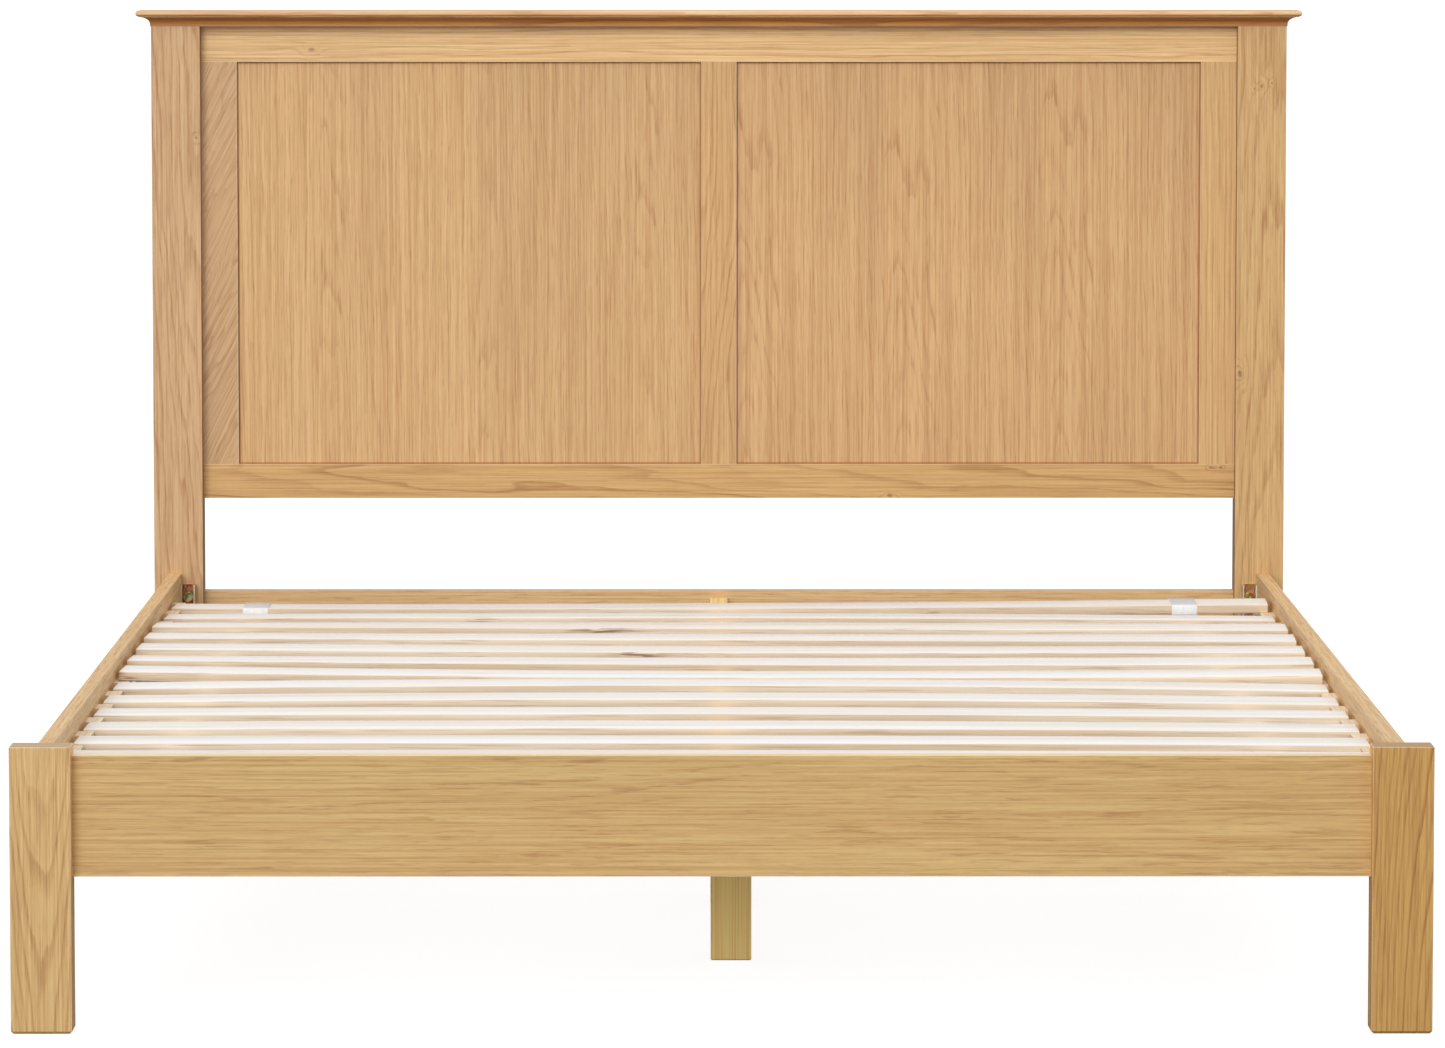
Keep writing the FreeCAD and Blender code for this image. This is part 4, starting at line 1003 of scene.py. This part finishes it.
def webbing_strap(name, node):
    low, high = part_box(node)
    middle_x = (low.x + high.x) / 2
    margins = [strap_route(low.x), strap_route(high.x)]
    clear_bench()
    bpy.ops.mesh.primitive_plane_add(size=1.0)
    strap = bpy.context.object
    strap.name = strap.data.name = name
    switch_to("EDIT")
    bpy.ops.mesh.select_mode(type="VERT")
    bpy.ops.mesh.select_all(action="DESELECT")
    switch_to("OBJECT")
    for corner in strap.data.vertices:
        corner.select = corner.co.y > 0
        corner.co = margins[corner.co.x > 0][int(corner.select)]
    for left_edge, right_edge in list(zip(*margins))[2:]:
        switch_to("EDIT")
        bpy.ops.mesh.extrude_region_move(TRANSFORM_OT_translate={"value": (0.0, 0.0, 0.0)})
        switch_to("OBJECT")
        for vertex in strap.data.vertices:
            if vertex.select:
                vertex.co = left_edge if vertex.co.x < middle_x else right_edge
    clear_bench()
    strap.select_set(True)
    bpy.context.view_layer.objects.active = strap
    for kind, settings in STRAP_WORK:
        modifier = strap.modifiers.new(kind.lower(), kind)
        for setting, value in settings.items():
            setattr(modifier, setting, value)
        bpy.ops.object.modifier_apply(modifier=modifier.name)
    bpy.ops.object.shade_smooth_by_angle(angle=math.radians(50))
    strap.data.materials.append(WEBBING)
    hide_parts(node)
    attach(strap, "slat_roll")
    report(strap)


for side in ("left", "right"):
    webbing_strap("strap_" + side, "webbing_" + side)

# %% [markdown]
# ## Metal
# The corner brackets and their bolts are zinc plated and passivated, which leaves a yellow
# film with a faint red and green bloom. The hangers, the wood screws in the ledgers and the
# staples are plain bright zinc.

# %% Plated steel finish
BLOOM_SHIFT = (3.7, 1.9, 5.3)
BLOOMS = (110.0, 110.0, 80.0)
SCUFFS = (900.0, 900.0, 500.0)


def plated_material(name, base, blooms, roughness):
    """Zinc plate: a base colour, slow blooms of other colours and fine scuffs."""
    finish = new_finish(name)
    finish.feed(finish.shader["Metallic"], 1.0)
    spot = finish.where()["Object"]
    color = base
    for number, bloom in enumerate(blooms):
        moved = finish.vector("ADD", spot, Vector(BLOOM_SHIFT) * number)
        drift = finish.noise(moved, BLOOMS)
        color = finish.tint(finish.ease(drift, 0.48, 0.62, 0.0, 0.9), color, bloom)
    scuffs = finish.noise(spot, SCUFFS, 3.0, 0.65)
    color = finish.tint(finish.ease(scuffs, 0.55, 0.8, 0.0, 0.4), color, tone(214, 206, 190))
    rough = finish.scaled(scuffs, roughness - 0.08, roughness + 0.14)
    return finish.coat(color, rough, scuffs, 0.1, 0.2 * MM)


YELLOW_ZINC = plated_material("yellow_zinc_plate", tone(214, 190, 110),
                              [tone(190, 74, 54), tone(84, 140, 84), tone(232, 226, 196)], 0.28)
BRIGHT_ZINC = plated_material("bright_zinc_plate", tone(196, 198, 202), [tone(168, 172, 180)], 0.3)
for name in ("bracket_bolts", "bracket_screws", "threaded_inserts"):
    finish_node(name, YELLOW_ZINC)
for name in ("beam_hanger_foot", "beam_hanger_head", "hanger_screws", "ledger_screws",
             "leg_bolts", "leg_nuts", "webbing_staples"):
    finish_node(name, BRIGHT_ZINC)
board_for("cap_dowels", "z", BARE_PINE, pith=(0.0, 0.3), ring=0.003, seed=30.0)

# %% [markdown]
# ## The film and the painted glints on the brackets
# The sheared rims and the top faces of a bent bracket get a painted highlight, near white,
# and the web is a thick red film. Both are laid over the yellow plate by the distance from
# the bed's middle, which is the same for all four brackets.

# %% Bracket film
PAINTED_RIM_GLINT, WEB_RED = tone(238, 242, 228), tone(158, 70, 50)


def bracket_material():
    finish = Finish(YELLOW_ZINC.copy())
    finish.material.name = "yellow_zinc_bracket"
    low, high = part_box("corner_bracket_head_left")
    place = finish.where()
    out = finish.do("ABSOLUTE", finish.parts(place["Object"])[1])
    rim = finish.ease(out, low.y + 0.5 * MM, low.y + 3.0 * MM, 0.95, 0.0)
    web = finish.ease(out, high.y - 4.0 * MM, high.y - 2.5 * MM, 0.0, 0.6)
    upward = finish.ease(finish.parts(place["Normal"])[2], 0.5, 0.9, 0.0, 0.9)
    finish.lay_over(web, WEB_RED, "MIX")
    # Painted highlight on the sheared rims and on faces that look up.
    finish.lay_over(finish.do("MAXIMUM", rim, upward), PAINTED_RIM_GLINT, "MIX")
    return finish.material


BRACKET_FILM = bracket_material()
for corner in ("foot_left", "foot_right", "head_left", "head_right"):
    finish_node("corner_bracket_" + corner, BRACKET_FILM)
print("finish:", BRACKET_FILM.name)

# %% [markdown]
# ## Floor
# A pale floor runs out of sight. It glows only where it is looked at directly, so it reads as
# white without lighting the bed from below.

# %% Lay the floor
FLOOR_SIZE, FLOOR_DROP = 400.0, 0.5 * MM
FLOOR_GLOW = 0.84

clear_bench()
bpy.ops.mesh.primitive_plane_add(size=FLOOR_SIZE, location=(0.0, 0.0, -FLOOR_DROP))
floor = bpy.context.object
floor.name = "pale_floor"
paint = new_finish("pale_floor_paint")
cloud = paint.noise(paint.where()["Object"], (0.7, 0.7, 0.7))
paint.feed(paint.shader["Base Color"], paint.tint(cloud, tone(154, 154, 154), tone(148, 148, 148)))
paint.feed(paint.shader["Roughness"], paint.scaled(cloud, 0.9, 1.0))
paint.feed(paint.shader["Specular IOR Level"], 0.0)
matt = paint.node.outputs[0]
glow = paint.place("Emission", {"Strength": FLOOR_GLOW}).outputs[0]
lit = paint.place("AddShader", {0: matt, 1: glow}).outputs[0]
direct = paint.place("LightPath", {}).outputs["Is Camera Ray"]
shown = paint.place("MixShader", {0: direct, 1: matt, 2: lit}).outputs[0]
paint.feed(paint.tree.nodes["Material Output"].inputs["Surface"], shown)
floor.data.materials.append(paint.material)
print("floor laid")

# %% [markdown]
# ## Light
# The sky is brighter overhead than at the horizon, which whitens the tops of the slats. One
# wide, soft light from the front, a little to the left, fills the upright faces.

# %% Light
SKY_HORIZON, SKY_OVERHEAD = 0.38, 1.08

sky = bpy.data.worlds.new("even_sky")
bpy.context.scene.world = sky
sky.use_nodes = True
dome = sky.node_tree.nodes["Background"].inputs
sky_bench = Bench(sky.node_tree)
height = sky_bench.parts(sky_bench.where()["Generated"])[2]
sky_bench.feed(dome["Color"], (1.0, 1.0, 1.0, 1.0))
sky_bench.feed(dome["Strength"], sky_bench.ease(height, 0.0, 1.0, SKY_HORIZON, SKY_OVERHEAD))


def soft_sun(name, azimuth, elevation, spread, strength):
    """A wide, even light from one side of the room. Azimuth 0 is straight in front."""
    lamp = bpy.data.lights.new(name, "SUN")
    lamp.angle, lamp.energy = math.radians(spread), strength
    holder = bpy.data.objects.new(name, lamp)
    bpy.context.collection.objects.link(holder)
    turn, lift = math.radians(azimuth), math.radians(elevation)
    level = math.cos(lift)
    back = Vector((math.sin(turn) * level, -math.cos(turn) * level, math.sin(lift)))
    holder.location = back * 12.0
    holder.rotation_euler = (-back).to_track_quat("-Z", "Y").to_euler()


soft_sun("front_panel", azimuth=-14.0, elevation=20.0, spread=34.0, strength=1.62)
bpy.context.scene.view_settings.view_transform = "Standard"

# %% [markdown]
# ## Camera
# A long lens stands well back at the foot of the bed and looks slightly down. That keeps the
# upright lines upright and still shows the slats.

# %% Camera
CAMERA_PLACE = (-0.0160, -9.2699, 1.2982)
CAMERA_TILT = math.radians(5.024)
CAMERA_PAN = math.radians(0.1173)
LENS_LENGTH, FILM_WIDTH = 183.60, 36.0
NEAREST, FARTHEST = 0.1, 400.0

lens = bpy.data.cameras.new("catalogue_camera")
lens.lens, lens.sensor_width = LENS_LENGTH, FILM_WIDTH
lens.clip_start, lens.clip_end = NEAREST, FARTHEST
camera = bpy.data.objects.new("catalogue_camera", lens)
bpy.context.collection.objects.link(camera)
camera.location = CAMERA_PLACE
camera.rotation_euler = (QUARTER - CAMERA_TILT, 0.0, -CAMERA_PAN)
bpy.context.scene.camera = camera
print("camera at", CAMERA_PLACE)
